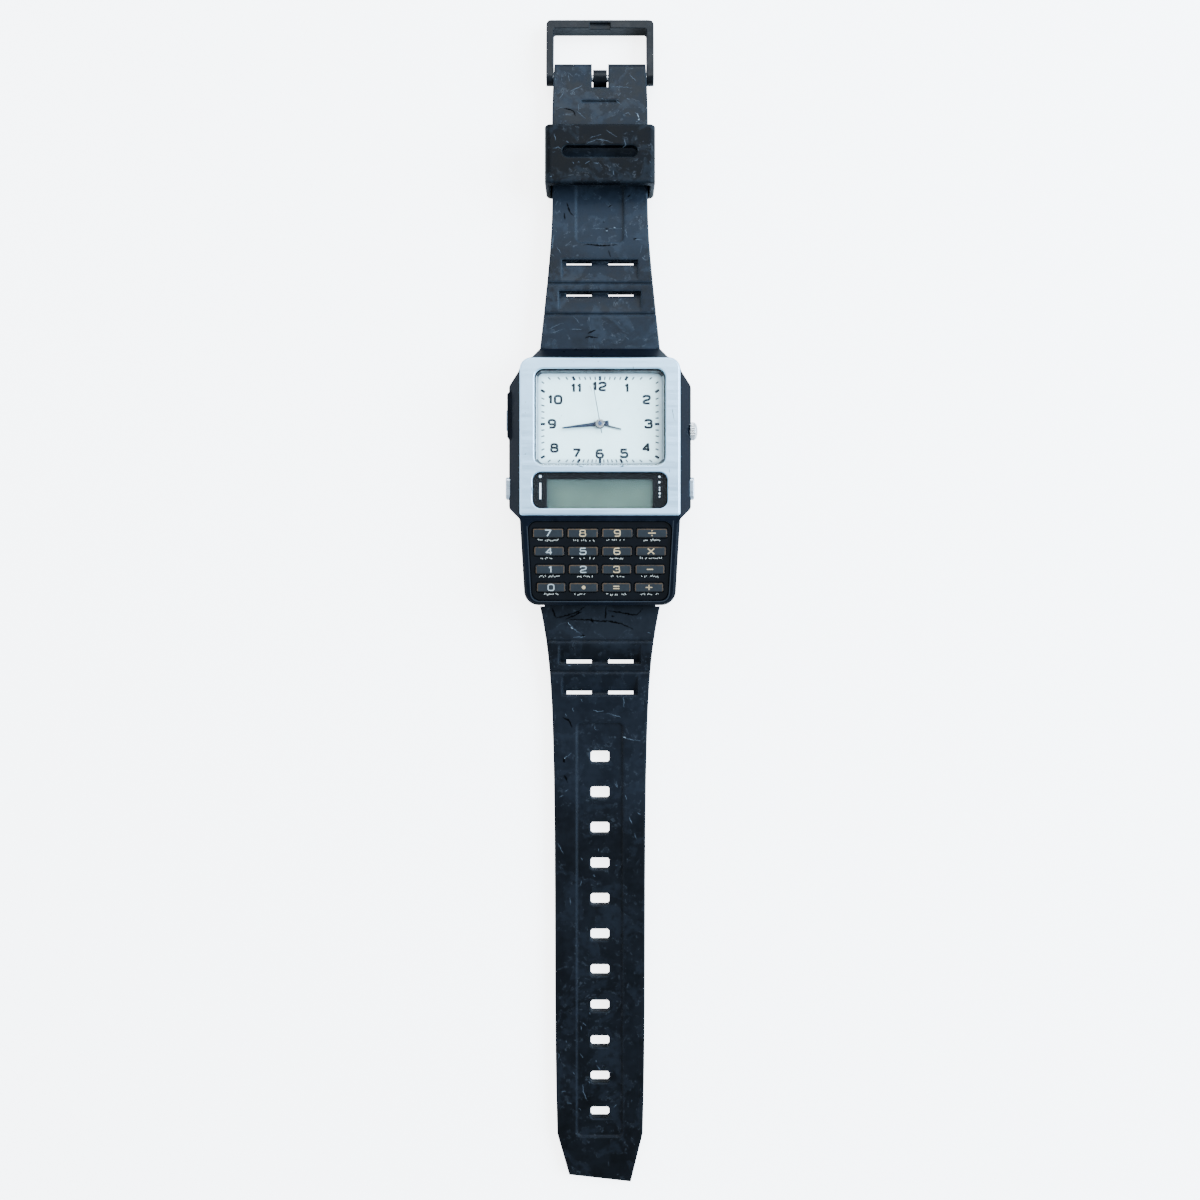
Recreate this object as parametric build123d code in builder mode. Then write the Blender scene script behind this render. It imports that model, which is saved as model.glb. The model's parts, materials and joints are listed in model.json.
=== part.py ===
from build123d import *
from math import atan2, cos, degrees, pi, radians, sin, sqrt, tan
import os

os.makedirs("parts", exist_ok=True)

# Calculator watch: hands and a dial over a digital window, and a pad of sixteen keys below.
# Millimetres. The origin is the middle of the case back's outer face, which lies on the table.
# X runs toward the crown, Y toward the buckle half of the strap, and Z up through the dial.

# Gaps that many pieces share
cut_overrun = 1.0           # how far a cutting solid runs past the face that it leaves by
running_fit = 0.05          # radial gap of a shaft that turns or slides in its hole
press_gap = 0.02            # radial gap of a piece that is pressed or glued on
seat_gap = 0.1              # gap round a piece that drops into a seat

# Case back, gasket and screws
back_width = 30.4
back_length = 38.8
back_thickness = 0.8
back_proud = 0.3            # the back stands this far below the case
back_corner = 2.2
gasket_width = 0.6
gasket_height = 0.5
gasket_inset = 1.5          # middle of the gasket in from the edges of the back
gasket_corner = 3.5
screw_side_inset = 1.3      # screw centre in from the edges of the back
screw_end_inset = 1.5
screw_head_radius = 0.95
screw_head_height = 0.35
screw_sink = 0.05           # head below the outer face
screw_shank_radius = 0.55
screw_length = 2.9
screw_slot_width = 0.25
screw_slot_depth = 0.18

# Module, from the battery up to the dial
clip_gap = 0.2              # between the case back and the battery clip
clip_thickness = 0.2
clip_width = 5.0
clip_arm_gap = 0.35
battery_radius = 10.0
battery_height = 1.6
battery_lip = 0.9           # the small face is this much smaller than the can
battery_step = 0.25
battery_y = -4.0
board_thickness = 0.5
board_corner = 3.4
bridge_thickness = 0.4
pillar_height = 3.25
plate_thickness = 0.45
dial_thickness = 0.4
frame_height = 1.0
bezel_thickness = 1.2

# Case
case_width = 35.4
bar_reach = 22.6            # spring bar from the middle of the case
bar_height = 3.2
lug_radius = 2.4
underside_width = 33.0
underside_length = 39.8
guard_waist = 4.0           # the side guards are widest from here
guard_shoulder = 6.0        # up to here
guard_high_end = 17.6
guard_low_end = -6.2
guard_corner = 2.1          # plan chamfer of the guards' ends
guard_step = 0.3            # guards meet the display part this far outside the bezel
guard_round = 1.2           # rounds the ends of the guards' outer faces
shoulder_y = 21.5           # corner beside the bezel, toward the strap
cover_half_width = 13.0     # strap cover at the bezel
cover_end_half_width = 11.7
cover_top_drop = 0.7        # cover top below the bezel's face
cover_front_height = 0.4    # height of the cover's front edge
cover_ceiling = 5.1         # roof of the strap recess
strap_recess_y = 20.3
cavity_half_width = 13.0
cavity_half_length = 17.2
cavity_corner = 2.8
cavity_ceiling = 5.6        # below the keypad floor
display_low = -7.7          # lower end of the display cavity
plate_ledge_y = 20.5        # the movement plate's ledge runs out to here
frame_half_width = 14.5
frame_high = 21.5
frame_corner = 1.2
bulge_low = 7.7             # swelling of the left guard round its button
bulge_high = 16.0
bulge_height = 0.35
bulge_slope = 0.7
bulge_low_z = 3.2
bulge_high_z = 6.5

# Bezel, crystal and digital window
bezel_width = 30.7
bezel_low = -7.8
bezel_high = 22.4
bezel_corner = 2.2
bezel_low_corner = 0.5
bezel_edge = 0.3
opening_edge = 0.12
dial_open_width = 25.2
dial_open_low = 1.7
dial_open_high = 20.3
dial_open_corner = 1.8
window_open_width = 25.9
window_open_low = -6.5
window_open_high = 0.5
window_open_corner = 1.65
crystal_thickness = 0.9
window_thickness = 0.8
crystal_edge = 0.12

# Display frame, dial and liquid crystal panel
ring_inset = 0.65           # foot of the sloped ring inside the bezel's dial opening
ring_top_inset = 0.3
mask_side_margin = 2.8      # dark mask beside the digital window
mask_top_margin = 1.3
mask_low_margin = 0.25
mask_thickness = 0.4
dial_half_width = 12.8
dial_corner = 1.5
panel_half_width = 11.5
panel_low = -7.2
panel_high = 0.9
panel_corner = 0.4
connector_half_length = 10.5
connector_width = 0.9
connector_inset = 0.25

# Keypad, laid out on a plane that slopes down toward the strap with the holes
pad_tilt = 4.5
pad_drop = 0.5              # upper end of the keypad rim below the bezel's face
pad_y = -7.85
pad_high_half_width = 15.4
pad_low_half_width = 14.5
pad_corner = 2.8
pad_edge = 0.55
pocket_high_half_width = 13.94
pocket_low_half_width = 13.17
pocket_high = -1.05
pocket_low = -16.4
pocket_corner = 1.7
pocket_ledge = 0.6
panel_sink = 0.7            # panel below the rim
panel_thickness = 0.6
key_columns = 4
key_rows = 4
key_pitch_high = 6.65       # column pitch of the first row
key_pitch_low = 6.29        # column pitch of the last row
key_row_pitch = 3.48
key_first_row = -3.35
key_web = 0.8               # column pitch less key width
key_depth = 1.75
key_cut = 0.25              # corners of keys and of their holes are cut, not round
key_edge = 0.15
key_sink = 0.2              # key top below the rim
key_lip = 0.25
key_lip_thickness = 0.3
key_travel = 0.4
membrane_thickness = 0.3
contacts_thickness = 0.2

# Buttons and crown
button_height = 5.0         # button and crown axes above the case back
button_cap_height = 2.2
button_corner = 0.7
button_shaft_radius = 0.6
button_collar_radius = 1.0
button_collar_thickness = 0.3
button_collar_gap = 0.2
button_low_y = -2.25
button_low_length = 4.3
button_low_proud = 0.65
button_low_travel = 0.6
button_high_y = 10.97
button_high_length = 4.1
button_high_proud = 0.2
button_high_travel = 0.4
button_cap_depth = 1.25
crown_y = 8.95
crown_radius = 1.75
crown_length = 1.5
crown_edge = 0.4
crown_dome = 0.25
crown_flutes = 22
crown_flute_depth = 0.16
crown_pocket_depth = 0.25
stem_radius = 0.45
stem_inner_end = 5.5
stem_socket = 0.8
stem_collar_radius = 0.75
stem_collar_x = 8.6
stem_collar_width = 0.35
stem_groove = 0.5
lever_thickness = 0.4
lever_foot_low = -1.0       # foot of the setting lever, from the stem's axis
lever_foot_high = 3.0
lever_foot_back = 1.6
lever_foot_front = 1.2
lever_half_width = 0.85
lever_foot_thickness = 0.3
lever_top = 0.9

# Gear train. The three hands turn about the hub
hub_y = 9.9
third_distance = 3.6
third_angle = 90.0
intermediate_distance = 3.6
intermediate_angle = 235.0
rotor_distance = 2.4
rotor_angle = 200.0
motion_distance = 2.8
motion_angle = 350.0
seconds_teeth = 36
third_teeth = 45
centre_teeth = 48
intermediate_teeth = 30
motion_teeth = 24
hour_teeth = 24
leaf_count = 6
cannon_leaves = 8
tooth_top_share = 0.8       # tooth height above and below the pitch circle, in modules
tooth_root_share = 1.15
tooth_foot_share = 0.5      # tooth widths at foot and tip, as shares of the tooth pitch
tooth_tip_share = 0.16
arbor_radius = 0.15
rotor_arbor_radius = 0.12
pivot_fit = 0.03
tube_radius = 0.4
pipe_radius = 0.7
stud_radius = 0.18
wheel_thickness = 0.2
seconds_rise = 0.5          # heights of the wheels above the train bridge
seconds_thickness = 0.3
seconds_pinion_length = 0.6
intermediate_pinion_rise = 0.4
intermediate_pinion_length = 0.5
intermediate_rise = 1.1
third_rise = 1.0
third_pinion_length = 0.8
centre_rise = 1.6
centre_foot = 0.1
cannon_rise = 2.3
cannon_length = 0.4
motion_rise = 2.35
motion_pinion_length = 0.5
hour_rise = 2.75
rotor_rise = 0.45
rotor_radius = 0.6
rotor_height = 0.6
rotor_pinion_length = 0.35

# Module plates, coil and stator
bridge_left = -11.6
bridge_right = 4.6
bridge_low = 3.6
bridge_high = 16.2
bridge_corner = 1.2
pillar_radius = 0.5
pillar_shares = [(0.26, 0.71), (0.945, 0.92), (0.41, 0.92), (0.94, 0.11)]
boss_radius = 0.5
boss_shares = [(0.062, 0.214), (0.568, 0.065)]
stator_left = -12.2
stator_right = -3.1
stator_low = 5.0
stator_high = 7.5
stator_rise = 0.55
stator_thickness = 0.4
stator_hole_radius = 0.8
leg_width = 1.0
leg_low = 2.5
leg_right = -1.9
coil_y = 3.0
coil_radius = 0.9
coil_left = -10.9
coil_right = -3.2
core_thickness = 0.5
core_width = 0.6
coil_flange = 0.25
coil_flange_radius = 1.05
chip_x = 5.0
chip_y = 12.0
chip_size = 4.6
chip_height = 0.7
quartz_x = -9.5
quartz_y = 9.6
quartz_radius = 0.75
quartz_length = 6.0
board_margin = 0.4
plate_half_width = 12.8
plate_low = 1.4
plate_high = 20.3
plate_corner = 1.5

# Hands
hand_gap = 0.15
hand_thickness = 0.15
hand_wall = 0.22
hour_hand_length = 4.2
hour_hand_tail = 1.2
hour_hand_width = 0.42
hour_hand_tip = 0.26
hour_hand_angle = 104.0     # clockwise from twelve, at rest
minute_hand_length = 7.3
minute_hand_tail = 1.7
minute_hand_width = 0.86
minute_hand_tip = 0.3
minute_hand_angle = 263.5
second_hand_length = 7.7
second_hand_tail = 1.9
second_hand_width = 0.16
second_hand_tip = 0.12
second_hand_angle = 350.0

# Spring bars and straps. Places along a strap are measured from the middle of the case
bar_radius = 0.75
bar_tip_radius = 0.4
bar_tip_length = 0.9
bar_end_gap = 0.1
strap_root_half_width = 10.9
strap_root_radius = 1.5
strap_wing_y = 25.25
wing_half_width = 11.75
wing_top = 4.55             # strap top just outside the case
slot_near_y = 32.6          # two rows of slots, each in a ramped recess
slot_far_y = 38.8
slot_reach = 4.0
slot_near_half_width = 8.05
slot_far_half_width = 7.45
slot_depth = 1.25
slot_length = 5.0
slot_width = 0.8
slot_bridge = 3.3
groove_near_y = 32.0
groove_far_y = 38.1
groove_width = 0.45
groove_depth = 0.3

# Strap half with the holes
tip_y = 139.3
tip_skew = 1.4
tip_start = 129.5
tip_half_width = 6.1
tip_corner = 1.6
hole_count = 11
hole_first = 55.1
hole_pitch = 7.05
hole_length = 3.7
hole_width = 2.4
hole_cut = 0.35             # corners of the holes are cut
channel_start = 48.3
channel_end = 130.2
channel_half_width = 4.6
channel_depth = 0.4
channel_corner = 1.0
hole_thickness = 2.4        # of the part that lies on the table
hole_landing = 46.0         # the underside reaches the table here
tip_thickness = 1.9
hole_width_shares = [(0.0, 1.0), (0.109, 0.855), (0.218, 0.8), (0.367, 0.77), (0.861, 0.745), (1.0, 0.719)]
hole_top_shares = [(0.0, 1.0), (0.065, 0.74), (0.15, 0.3), (0.2, 0.0)]

# Strap half with the buckle
panel_recess_near = 46.2
panel_recess_far = 62.0
panel_recess_half_width = 4.7
panel_recess_depth = 0.4
buckle_strap_end = 81.8
flat_start = 46.0           # level stretch under the keeper
flat_end = 70.0
flat_underside = 1.4
flat_thickness = 2.75
buckle_width_shares = [(0.0, 1.0), (0.234, 0.881), (0.438, 0.806), (0.738, 0.8), (1.0, 0.757)]
mark_y = 73.9
mark_length = 7.2
mark_width = 0.4
mark_depth = 0.3

# Buckle
buckle_y = 79.1
buckle_z = 2.5
buckle_end_y = 90.6
buckle_width = 21.2
buckle_arm = 1.4
buckle_bar_depth = 1.8
buckle_height = 3.0
buckle_eye_radius = 1.4
buckle_corner = 1.2
buckle_inner_corner = 0.4
buckle_edge = 0.3
buckle_pin_radius = 0.65
buckle_pin_inset = 0.4
rest_half_width = 2.05
rest_depth = 0.5
rest_reach = 1.1
notch_half_width = 1.6
notch_reach = 2.4
tongue_half_width = 1.37
tongue_thickness = 0.85
tongue_reach = 11.0
tongue_floor = 0.1          # underside of the folded tongue above the table
tongue_tip = 0.45

# Keeper
keeper_y = 61.75
keeper_length = 11.3
keeper_width = 21.3
keeper_height = 9.0
keeper_side = 0.95
keeper_floor = 1.2
keeper_top = 1.5
keeper_corner = 1.2
keeper_inner_corner = 0.5
keeper_slot_length = 14.5
keeper_slot_width = 2.3
keeper_slot_offset = 0.4
keeper_edge = 0.25

# Heights of the stacked module, from the table up
clip_z = back_thickness + clip_gap
battery_z = clip_z + clip_thickness
board_z = battery_z + battery_height
bridge_z = board_z + board_thickness
bridge_top = bridge_z + bridge_thickness
plate_z = bridge_top + pillar_height
dial_z = plate_z + plate_thickness
dial_top = dial_z + dial_thickness
bezel_seat = dial_top + frame_height
case_height = bezel_seat + bezel_thickness

# Places that several pieces share
case_half = case_width / 2
case_end = bar_reach + lug_radius
bezel_half = bezel_width / 2
pad_z = case_height - pad_drop
pad_slope = tan(radians(pad_tilt))
pad_normal = (0, -sin(radians(pad_tilt)), cos(radians(pad_tilt)))
pad_plane = Plane(origin=(0, pad_y, pad_z), x_dir=(1, 0, 0), z_dir=pad_normal)
panel_top_w = -panel_sink
panel_under_w = panel_top_w - panel_thickness
lip_top_w = panel_under_w - running_fit
lip_under_w = lip_top_w - key_lip_thickness
membrane_top_w = lip_under_w - key_travel - running_fit
membrane_under_w = membrane_top_w - membrane_thickness
pocket_floor_w = membrane_under_w - contacts_thickness
screw_x = back_width / 2 - screw_side_inset
screw_y = back_length / 2 - screw_end_inset
dial_open_half = dial_open_width / 2
hub = Vector(0, hub_y)


def around(centre, distance, angle):
    """The point at a distance and an angle, in degrees, from a centre."""
    return Vector(centre.X + distance * cos(radians(angle)), centre.Y + distance * sin(radians(angle)))


third_axis = around(hub, third_distance, third_angle)
intermediate_axis = around(hub, intermediate_distance, intermediate_angle)
rotor_axis = around(intermediate_axis, rotor_distance, rotor_angle)
motion_axis = around(hub, motion_distance, motion_angle)


def save(builder, name):
    """Label a finished piece and write it to its own file."""
    builder.part.label = name
    export_step(builder.part, f"parts/{name}.step")


def both_sides(points):
    """Close a half outline on the +X side with its mirror image."""
    return points + [(-x, y) for x, y in reversed(points)]


def rounded_plate(half_width, low, high, corner):
    """A rounded rectangle between two places along Y, in the sketch that is being drawn."""
    with Locations((0, (low + high) / 2)):
        RectangleRounded(2 * half_width, high - low, corner)


def cut_rectangle(width, height, cut, mode=Mode.ADD):
    """A rectangle with its corners cut off, in the sketch that is being drawn."""
    x, y = width / 2, height / 2
    Polygon((x, y - cut), (x - cut, y), (cut - x, y), (-x, y - cut),
            (-x, cut - y), (cut - x, -y), (x - cut, -y), (x, cut - y), align=None, mode=mode)


# Case body
keypad_end_z = pad_z - (case_end + pad_y) * pad_slope
guard_foot = guard_low_end - guard_corner
cover_start = bezel_high + running_fit
case_plan = [
    (pad_low_half_width, -case_end),
    (pad_high_half_width, guard_foot - guard_step),
    (case_half - guard_corner, guard_foot),
    (case_half, guard_low_end),
    (case_half, guard_high_end),
    (bezel_half + guard_step, guard_high_end + guard_corner + guard_step),
    (bezel_half - guard_step, shoulder_y),
    (cover_half_width, bezel_high + guard_step),
    (cover_end_half_width, case_end),
]
case_section = [
    (underside_width / 2, back_proud),
    (case_half, guard_waist),
    (case_half, guard_shoulder),
    (bezel_half + seat_gap, bezel_seat),
    (bezel_half + seat_gap, case_height),
]
bulge_plan = [
    (-case_half + bulge_height, bulge_low - bulge_slope),
    (-case_half - bulge_height, bulge_low),
    (-case_half - bulge_height, bulge_high),
    (-case_half + bulge_height, bulge_high + bulge_slope),
]
gasket_middle = (back_width - 2 * gasket_inset, back_length - 2 * gasket_inset)
gasket_outer = [side + gasket_width for side in gasket_middle]
gasket_inner = [side - gasket_width for side in gasket_middle]
button_low_floor = case_half + button_low_proud - button_cap_depth - button_low_travel - seat_gap
button_high_face = case_half + bulge_height
button_high_floor = button_high_face + button_high_proud - button_cap_depth - button_high_travel - seat_gap


def pad_outline(inset):
    """The keypad recess outline, drawn in from its edge by an inset, in the current sketch."""
    half_outline = [(pocket_low_half_width - inset, pocket_low + inset),
                    (pocket_high_half_width - inset, pocket_high - inset)]
    Polygon(*both_sides(half_outline), align=None)


with BuildPart() as case_body:
    with BuildSketch(Plane.XY.offset(back_proud)) as plan:
        with BuildLine():
            Polyline(*both_sides(case_plan), close=True)
        make_face()
        fillet(plan.vertices().group_by(Axis.Y)[0], pad_corner)
        for outer in (0, -1):
            fillet(plan.vertices().group_by(Axis.X)[outer], guard_round)
    extrude(amount=case_height - back_proud)
    with BuildSketch(Plane.YZ):
        with BuildLine():
            Polyline((-bar_reach, bar_height - lug_radius), (-underside_length / 2, back_proud),
                     (underside_length / 2, back_proud), (bar_reach, bar_height - lug_radius))
            CenterArc((bar_reach, bar_height), lug_radius, -90, 90)
            Polyline((case_end, bar_height), (case_end, cover_ceiling + cover_front_height),
                     (cover_start, case_height - cover_top_drop), (cover_start, bezel_seat),
                     (pad_y, bezel_seat), (pad_y, pad_z),
                     (-case_end, keypad_end_z), (-case_end, bar_height))
            CenterArc((-bar_reach, bar_height), lug_radius, 180, 90)
        make_face()
    extrude(amount=case_half + cut_overrun, both=True, mode=Mode.INTERSECT)
    with BuildSketch(Plane.XZ):
        with BuildLine():
            Polyline(*both_sides(case_section), close=True)
        make_face()
    extrude(amount=case_end + cut_overrun, both=True, mode=Mode.INTERSECT)
    rim_face = case_body.faces().filter_by(pad_plane).sort_by(SortBy.AREA)[-1]
    rim_edges = rim_face.edges().filter_by_position(Axis.Y, -case_end, guard_foot - guard_step)
    chamfer(rim_edges, pad_edge)
    # Swelling of the left guard round the upper button
    with BuildSketch(Plane.XY.offset(bulge_low_z)):
        with BuildLine():
            Polyline(*bulge_plan, close=True)
        make_face()
    extrude(amount=bulge_high_z - bulge_low_z)
    # Recess for the case back, the gasket groove and the module cavity
    with BuildSketch(Plane.XY.offset(back_proud - cut_overrun)):
        RectangleRounded(back_width + 2 * seat_gap, back_length + 2 * seat_gap, back_corner)
    extrude(amount=back_thickness - back_proud + cut_overrun, mode=Mode.SUBTRACT)
    with BuildSketch(Plane.XY.offset(back_thickness)):
        RectangleRounded(*gasket_outer, gasket_corner + gasket_width / 2)
        RectangleRounded(*gasket_inner, gasket_corner - gasket_width / 2, mode=Mode.SUBTRACT)
    extrude(amount=gasket_height, mode=Mode.SUBTRACT)
    with BuildSketch(Plane.XY.offset(back_thickness)):
        RectangleRounded(2 * cavity_half_width, 2 * cavity_half_length, cavity_corner)
    extrude(amount=cavity_ceiling - back_thickness, mode=Mode.SUBTRACT)
    with BuildSketch(Plane.XY.offset(cavity_ceiling)):
        rounded_plate(cavity_half_width, display_low, cavity_half_length, dial_corner)
    extrude(amount=bezel_seat - cavity_ceiling, mode=Mode.SUBTRACT)
    with BuildSketch(Plane.XY.offset(plate_z)):
        rounded_plate(cavity_half_width, display_low, plate_ledge_y, dial_corner)
    extrude(amount=bezel_seat - plate_z, mode=Mode.SUBTRACT)
    with BuildSketch(Plane.XY.offset(dial_top)):
        rounded_plate(frame_half_width, display_low, frame_high, frame_corner)
    extrude(amount=bezel_seat - dial_top, mode=Mode.SUBTRACT)
    # Keypad recess with a ledge for the panel
    with BuildSketch(pad_plane) as recess:
        pad_outline(0)
        fillet(recess.vertices(), pocket_corner)
    extrude(amount=panel_under_w, mode=Mode.SUBTRACT)
    with BuildSketch(pad_plane) as floor_outline:
        pad_outline(pocket_ledge)
        fillet(floor_outline.vertices(), pocket_corner - pocket_ledge)
    extrude(amount=pocket_floor_w, mode=Mode.SUBTRACT)
    # Recesses for the two strap roots, with blind holes for the spring bars
    recess_end = case_end + cut_overrun
    for side in (-1, 1):
        with Locations((0, side * (strap_recess_y + recess_end) / 2, (cover_ceiling - cut_overrun) / 2)):
            Box(2 * (strap_root_half_width + seat_gap), recess_end - strap_recess_y,
                cover_ceiling + cut_overrun, mode=Mode.SUBTRACT)
        with Locations(Location((0, side * bar_reach, bar_height), (0, 90, 0))):
            Cylinder(bar_tip_radius + press_gap, 2 * (strap_root_half_width + bar_tip_length + seat_gap),
                     mode=Mode.SUBTRACT)
    # Screw holes
    with BuildSketch(Plane.XY.offset(back_thickness)):
        with GridLocations(2 * screw_x, 2 * screw_y, 2, 2):
            Circle(screw_shank_radius + running_fit)
    extrude(amount=screw_length - back_thickness + seat_gap, mode=Mode.SUBTRACT)
    # Crown pocket and stem hole on the right, button pockets on both sides
    with BuildSketch(Plane.YZ.offset(case_half - crown_pocket_depth)):
        with Locations((crown_y, button_height)):
            Circle(crown_radius + seat_gap)
    extrude(amount=crown_pocket_depth + cut_overrun, mode=Mode.SUBTRACT)
    with BuildSketch(Plane.YZ.offset(cavity_half_width - cut_overrun)):
        with Locations((crown_y, button_height)):
            Circle(stem_radius + running_fit)
    extrude(amount=case_half - cavity_half_width + cut_overrun, mode=Mode.SUBTRACT)
    for side, y, length, floor in ((1, button_low_y, button_low_length, button_low_floor),
                                   (-1, button_low_y, button_low_length, button_low_floor),
                                   (-1, button_high_y, button_high_length, button_high_floor)):
        with BuildSketch(Plane.YZ.offset(side * floor)):
            with Locations((y, button_height)):
                RectangleRounded(length + 2 * seat_gap, button_cap_height + 2 * seat_gap,
                                 button_corner + seat_gap)
        extrude(amount=side * (case_half + cut_overrun - floor), mode=Mode.SUBTRACT)
        with BuildSketch(Plane.YZ.offset(side * (cavity_half_width - cut_overrun))):
            with Locations((y, button_height)):
                Circle(button_shaft_radius + running_fit)
        extrude(amount=side * (floor - cavity_half_width + 2 * cut_overrun), mode=Mode.SUBTRACT)
save(case_body, "case_body")

# Case back, its gasket and its screws
with BuildPart() as case_back:
    with BuildSketch():
        RectangleRounded(back_width, back_length, back_corner)
    extrude(amount=back_thickness)
    chamfer(case_back.faces().sort_by(Axis.Z)[0].edges(), back_proud / 2)
    with BuildSketch():
        with GridLocations(2 * screw_x, 2 * screw_y, 2, 2):
            Circle(screw_head_radius + press_gap)
    extrude(amount=screw_sink + screw_head_height, mode=Mode.SUBTRACT)
    with BuildSketch():
        with GridLocations(2 * screw_x, 2 * screw_y, 2, 2):
            Circle(screw_shank_radius + running_fit)
    extrude(amount=back_thickness, mode=Mode.SUBTRACT)
save(case_back, "case_back")

with BuildPart() as case_back_gasket:
    with BuildSketch(Plane.XY.offset(back_thickness)):
        RectangleRounded(*[side - 2 * press_gap for side in gasket_outer], gasket_corner + gasket_width / 2)
        RectangleRounded(*[side + 2 * press_gap for side in gasket_inner], gasket_corner - gasket_width / 2,
                         mode=Mode.SUBTRACT)
    extrude(amount=gasket_height)
save(case_back_gasket, "case_back_gasket")

with BuildPart() as case_back_screws:
    with BuildSketch(Plane.XY.offset(screw_sink)):
        with GridLocations(2 * screw_x, 2 * screw_y, 2, 2):
            Circle(screw_head_radius)
    extrude(amount=screw_head_height)
    with BuildSketch(Plane.XY.offset(screw_sink + screw_head_height)):
        with GridLocations(2 * screw_x, 2 * screw_y, 2, 2):
            Circle(screw_shank_radius)
    extrude(amount=screw_length - screw_sink - screw_head_height)
    with BuildSketch(Plane.XY.offset(screw_sink)):
        with GridLocations(2 * screw_x, 2 * screw_y, 2, 2):
            Rectangle(2 * screw_head_radius + cut_overrun, screw_slot_width)
            Rectangle(screw_slot_width, 2 * screw_head_radius + cut_overrun)
    extrude(amount=screw_slot_depth, mode=Mode.SUBTRACT)
save(case_back_screws, "case_back_screws")

# Bezel, crystal and digital window
with BuildPart() as bezel:
    with BuildSketch(Plane.XY.offset(bezel_seat)) as bezel_plan:
        with Locations((0, (bezel_low + bezel_high) / 2)):
            Rectangle(bezel_width, bezel_high - bezel_low)
        fillet(bezel_plan.vertices().group_by(Axis.Y)[-1], bezel_corner)
        fillet(bezel_plan.vertices().group_by(Axis.Y)[0], bezel_low_corner)
    extrude(amount=bezel_thickness)
    chamfer(bezel.faces().sort_by(Axis.Z)[-1].edges(), bezel_edge)
    with BuildSketch(Plane.XY.offset(bezel_seat)):
        rounded_plate(dial_open_half, dial_open_low, dial_open_high, dial_open_corner)
        rounded_plate(window_open_width / 2, window_open_low, window_open_high, window_open_corner)
    extrude(amount=bezel_thickness, mode=Mode.SUBTRACT)
    openings = bezel.faces().sort_by(Axis.Z)[-1].inner_wires()
    chamfer([wire.edges() for wire in openings], opening_edge)
save(bezel, "bezel")

with BuildPart() as dial_crystal:
    with BuildSketch(Plane.XY.offset(bezel_seat)):
        rounded_plate(dial_open_half - running_fit, dial_open_low + running_fit, dial_open_high - running_fit,
                      dial_open_corner - running_fit)
    extrude(amount=crystal_thickness)
    chamfer(dial_crystal.faces().sort_by(Axis.Z)[-1].edges(), crystal_edge)
save(dial_crystal, "dial_crystal")

with BuildPart() as lcd_window:
    with BuildSketch(Plane.XY.offset(bezel_seat)):
        rounded_plate(window_open_width / 2 - running_fit, window_open_low + running_fit,
                      window_open_high - running_fit, window_open_corner - running_fit)
    extrude(amount=window_thickness)
    chamfer(lcd_window.faces().sort_by(Axis.Z)[-1].edges(), crystal_edge)
save(lcd_window, "lcd_window")

# Display frame: the sloped ring round the dial, and the mask over the liquid crystal panel
mask_z = bezel_seat - mask_thickness
with BuildPart() as display_frame:
    with BuildSketch(Plane.XY.offset(dial_top)):
        rounded_plate(frame_half_width - seat_gap, display_low + running_fit, frame_high - seat_gap,
                      frame_corner - seat_gap)
    extrude(amount=frame_height)
    with BuildSketch(Plane.XY.offset(dial_top)):
        rounded_plate(dial_open_half - ring_inset, dial_open_low + ring_inset, dial_open_high - ring_inset,
                      dial_open_corner - ring_inset)
    with BuildSketch(Plane.XY.offset(bezel_seat)):
        rounded_plate(dial_open_half - ring_top_inset, dial_open_low + ring_top_inset,
                      dial_open_high - ring_top_inset, dial_open_corner - ring_top_inset)
    loft(mode=Mode.SUBTRACT)
    with BuildSketch(Plane.XY.offset(dial_top)):
        rounded_plate(panel_half_width + seat_gap, panel_low - seat_gap, panel_high + seat_gap, panel_corner)
    extrude(amount=mask_z - dial_top, mode=Mode.SUBTRACT)
    with BuildSketch(Plane.XY.offset(dial_top)):
        rounded_plate(window_open_width / 2 - mask_side_margin, window_open_low + mask_low_margin,
                      window_open_high - mask_top_margin, panel_corner)
    extrude(amount=frame_height, mode=Mode.SUBTRACT)
save(display_frame, "display_frame")

with BuildPart() as dial:
    with BuildSketch(Plane.XY.offset(dial_z)):
        rounded_plate(dial_half_width, dial_open_low - seat_gap, dial_open_high, dial_corner)
        with Locations((hub.X, hub.Y)):
            Circle(pipe_radius + seat_gap, mode=Mode.SUBTRACT)
    extrude(amount=dial_thickness)
save(dial, "dial")

connector_top = dial_z - plate_thickness / 2
with BuildPart() as lcd_panel:
    with BuildSketch(Plane.XY.offset(connector_top)):
        rounded_plate(panel_half_width, panel_low, panel_high, panel_corner)
    extrude(amount=mask_z - connector_top)
save(lcd_panel, "lcd_panel")

connector_edge = connector_inset + connector_width / 2
with BuildPart() as lcd_connectors:
    with BuildSketch(Plane.XY.offset(bridge_z)):
        with Locations((0, panel_low + connector_edge), (0, panel_high - connector_edge)):
            Rectangle(2 * connector_half_length, connector_width)
    extrude(amount=connector_top - bridge_z)
save(lcd_connectors, "lcd_connectors")

# Module: battery clip, battery and circuit board
with BuildPart() as battery_clip:
    with BuildSketch(Plane.XY.offset(clip_z)):
        with Locations((0, battery_y)):
            Rectangle(2 * (battery_radius + clip_arm_gap + clip_thickness), clip_width)
    extrude(amount=clip_thickness)
    with BuildSketch(Plane.XY.offset(clip_z)):
        for side in (-1, 1):
            with Locations((side * (battery_radius + clip_arm_gap + clip_thickness / 2), battery_y)):
                Rectangle(clip_thickness, clip_width)
    extrude(amount=board_z - clip_z)
save(battery_clip, "battery_clip")

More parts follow.
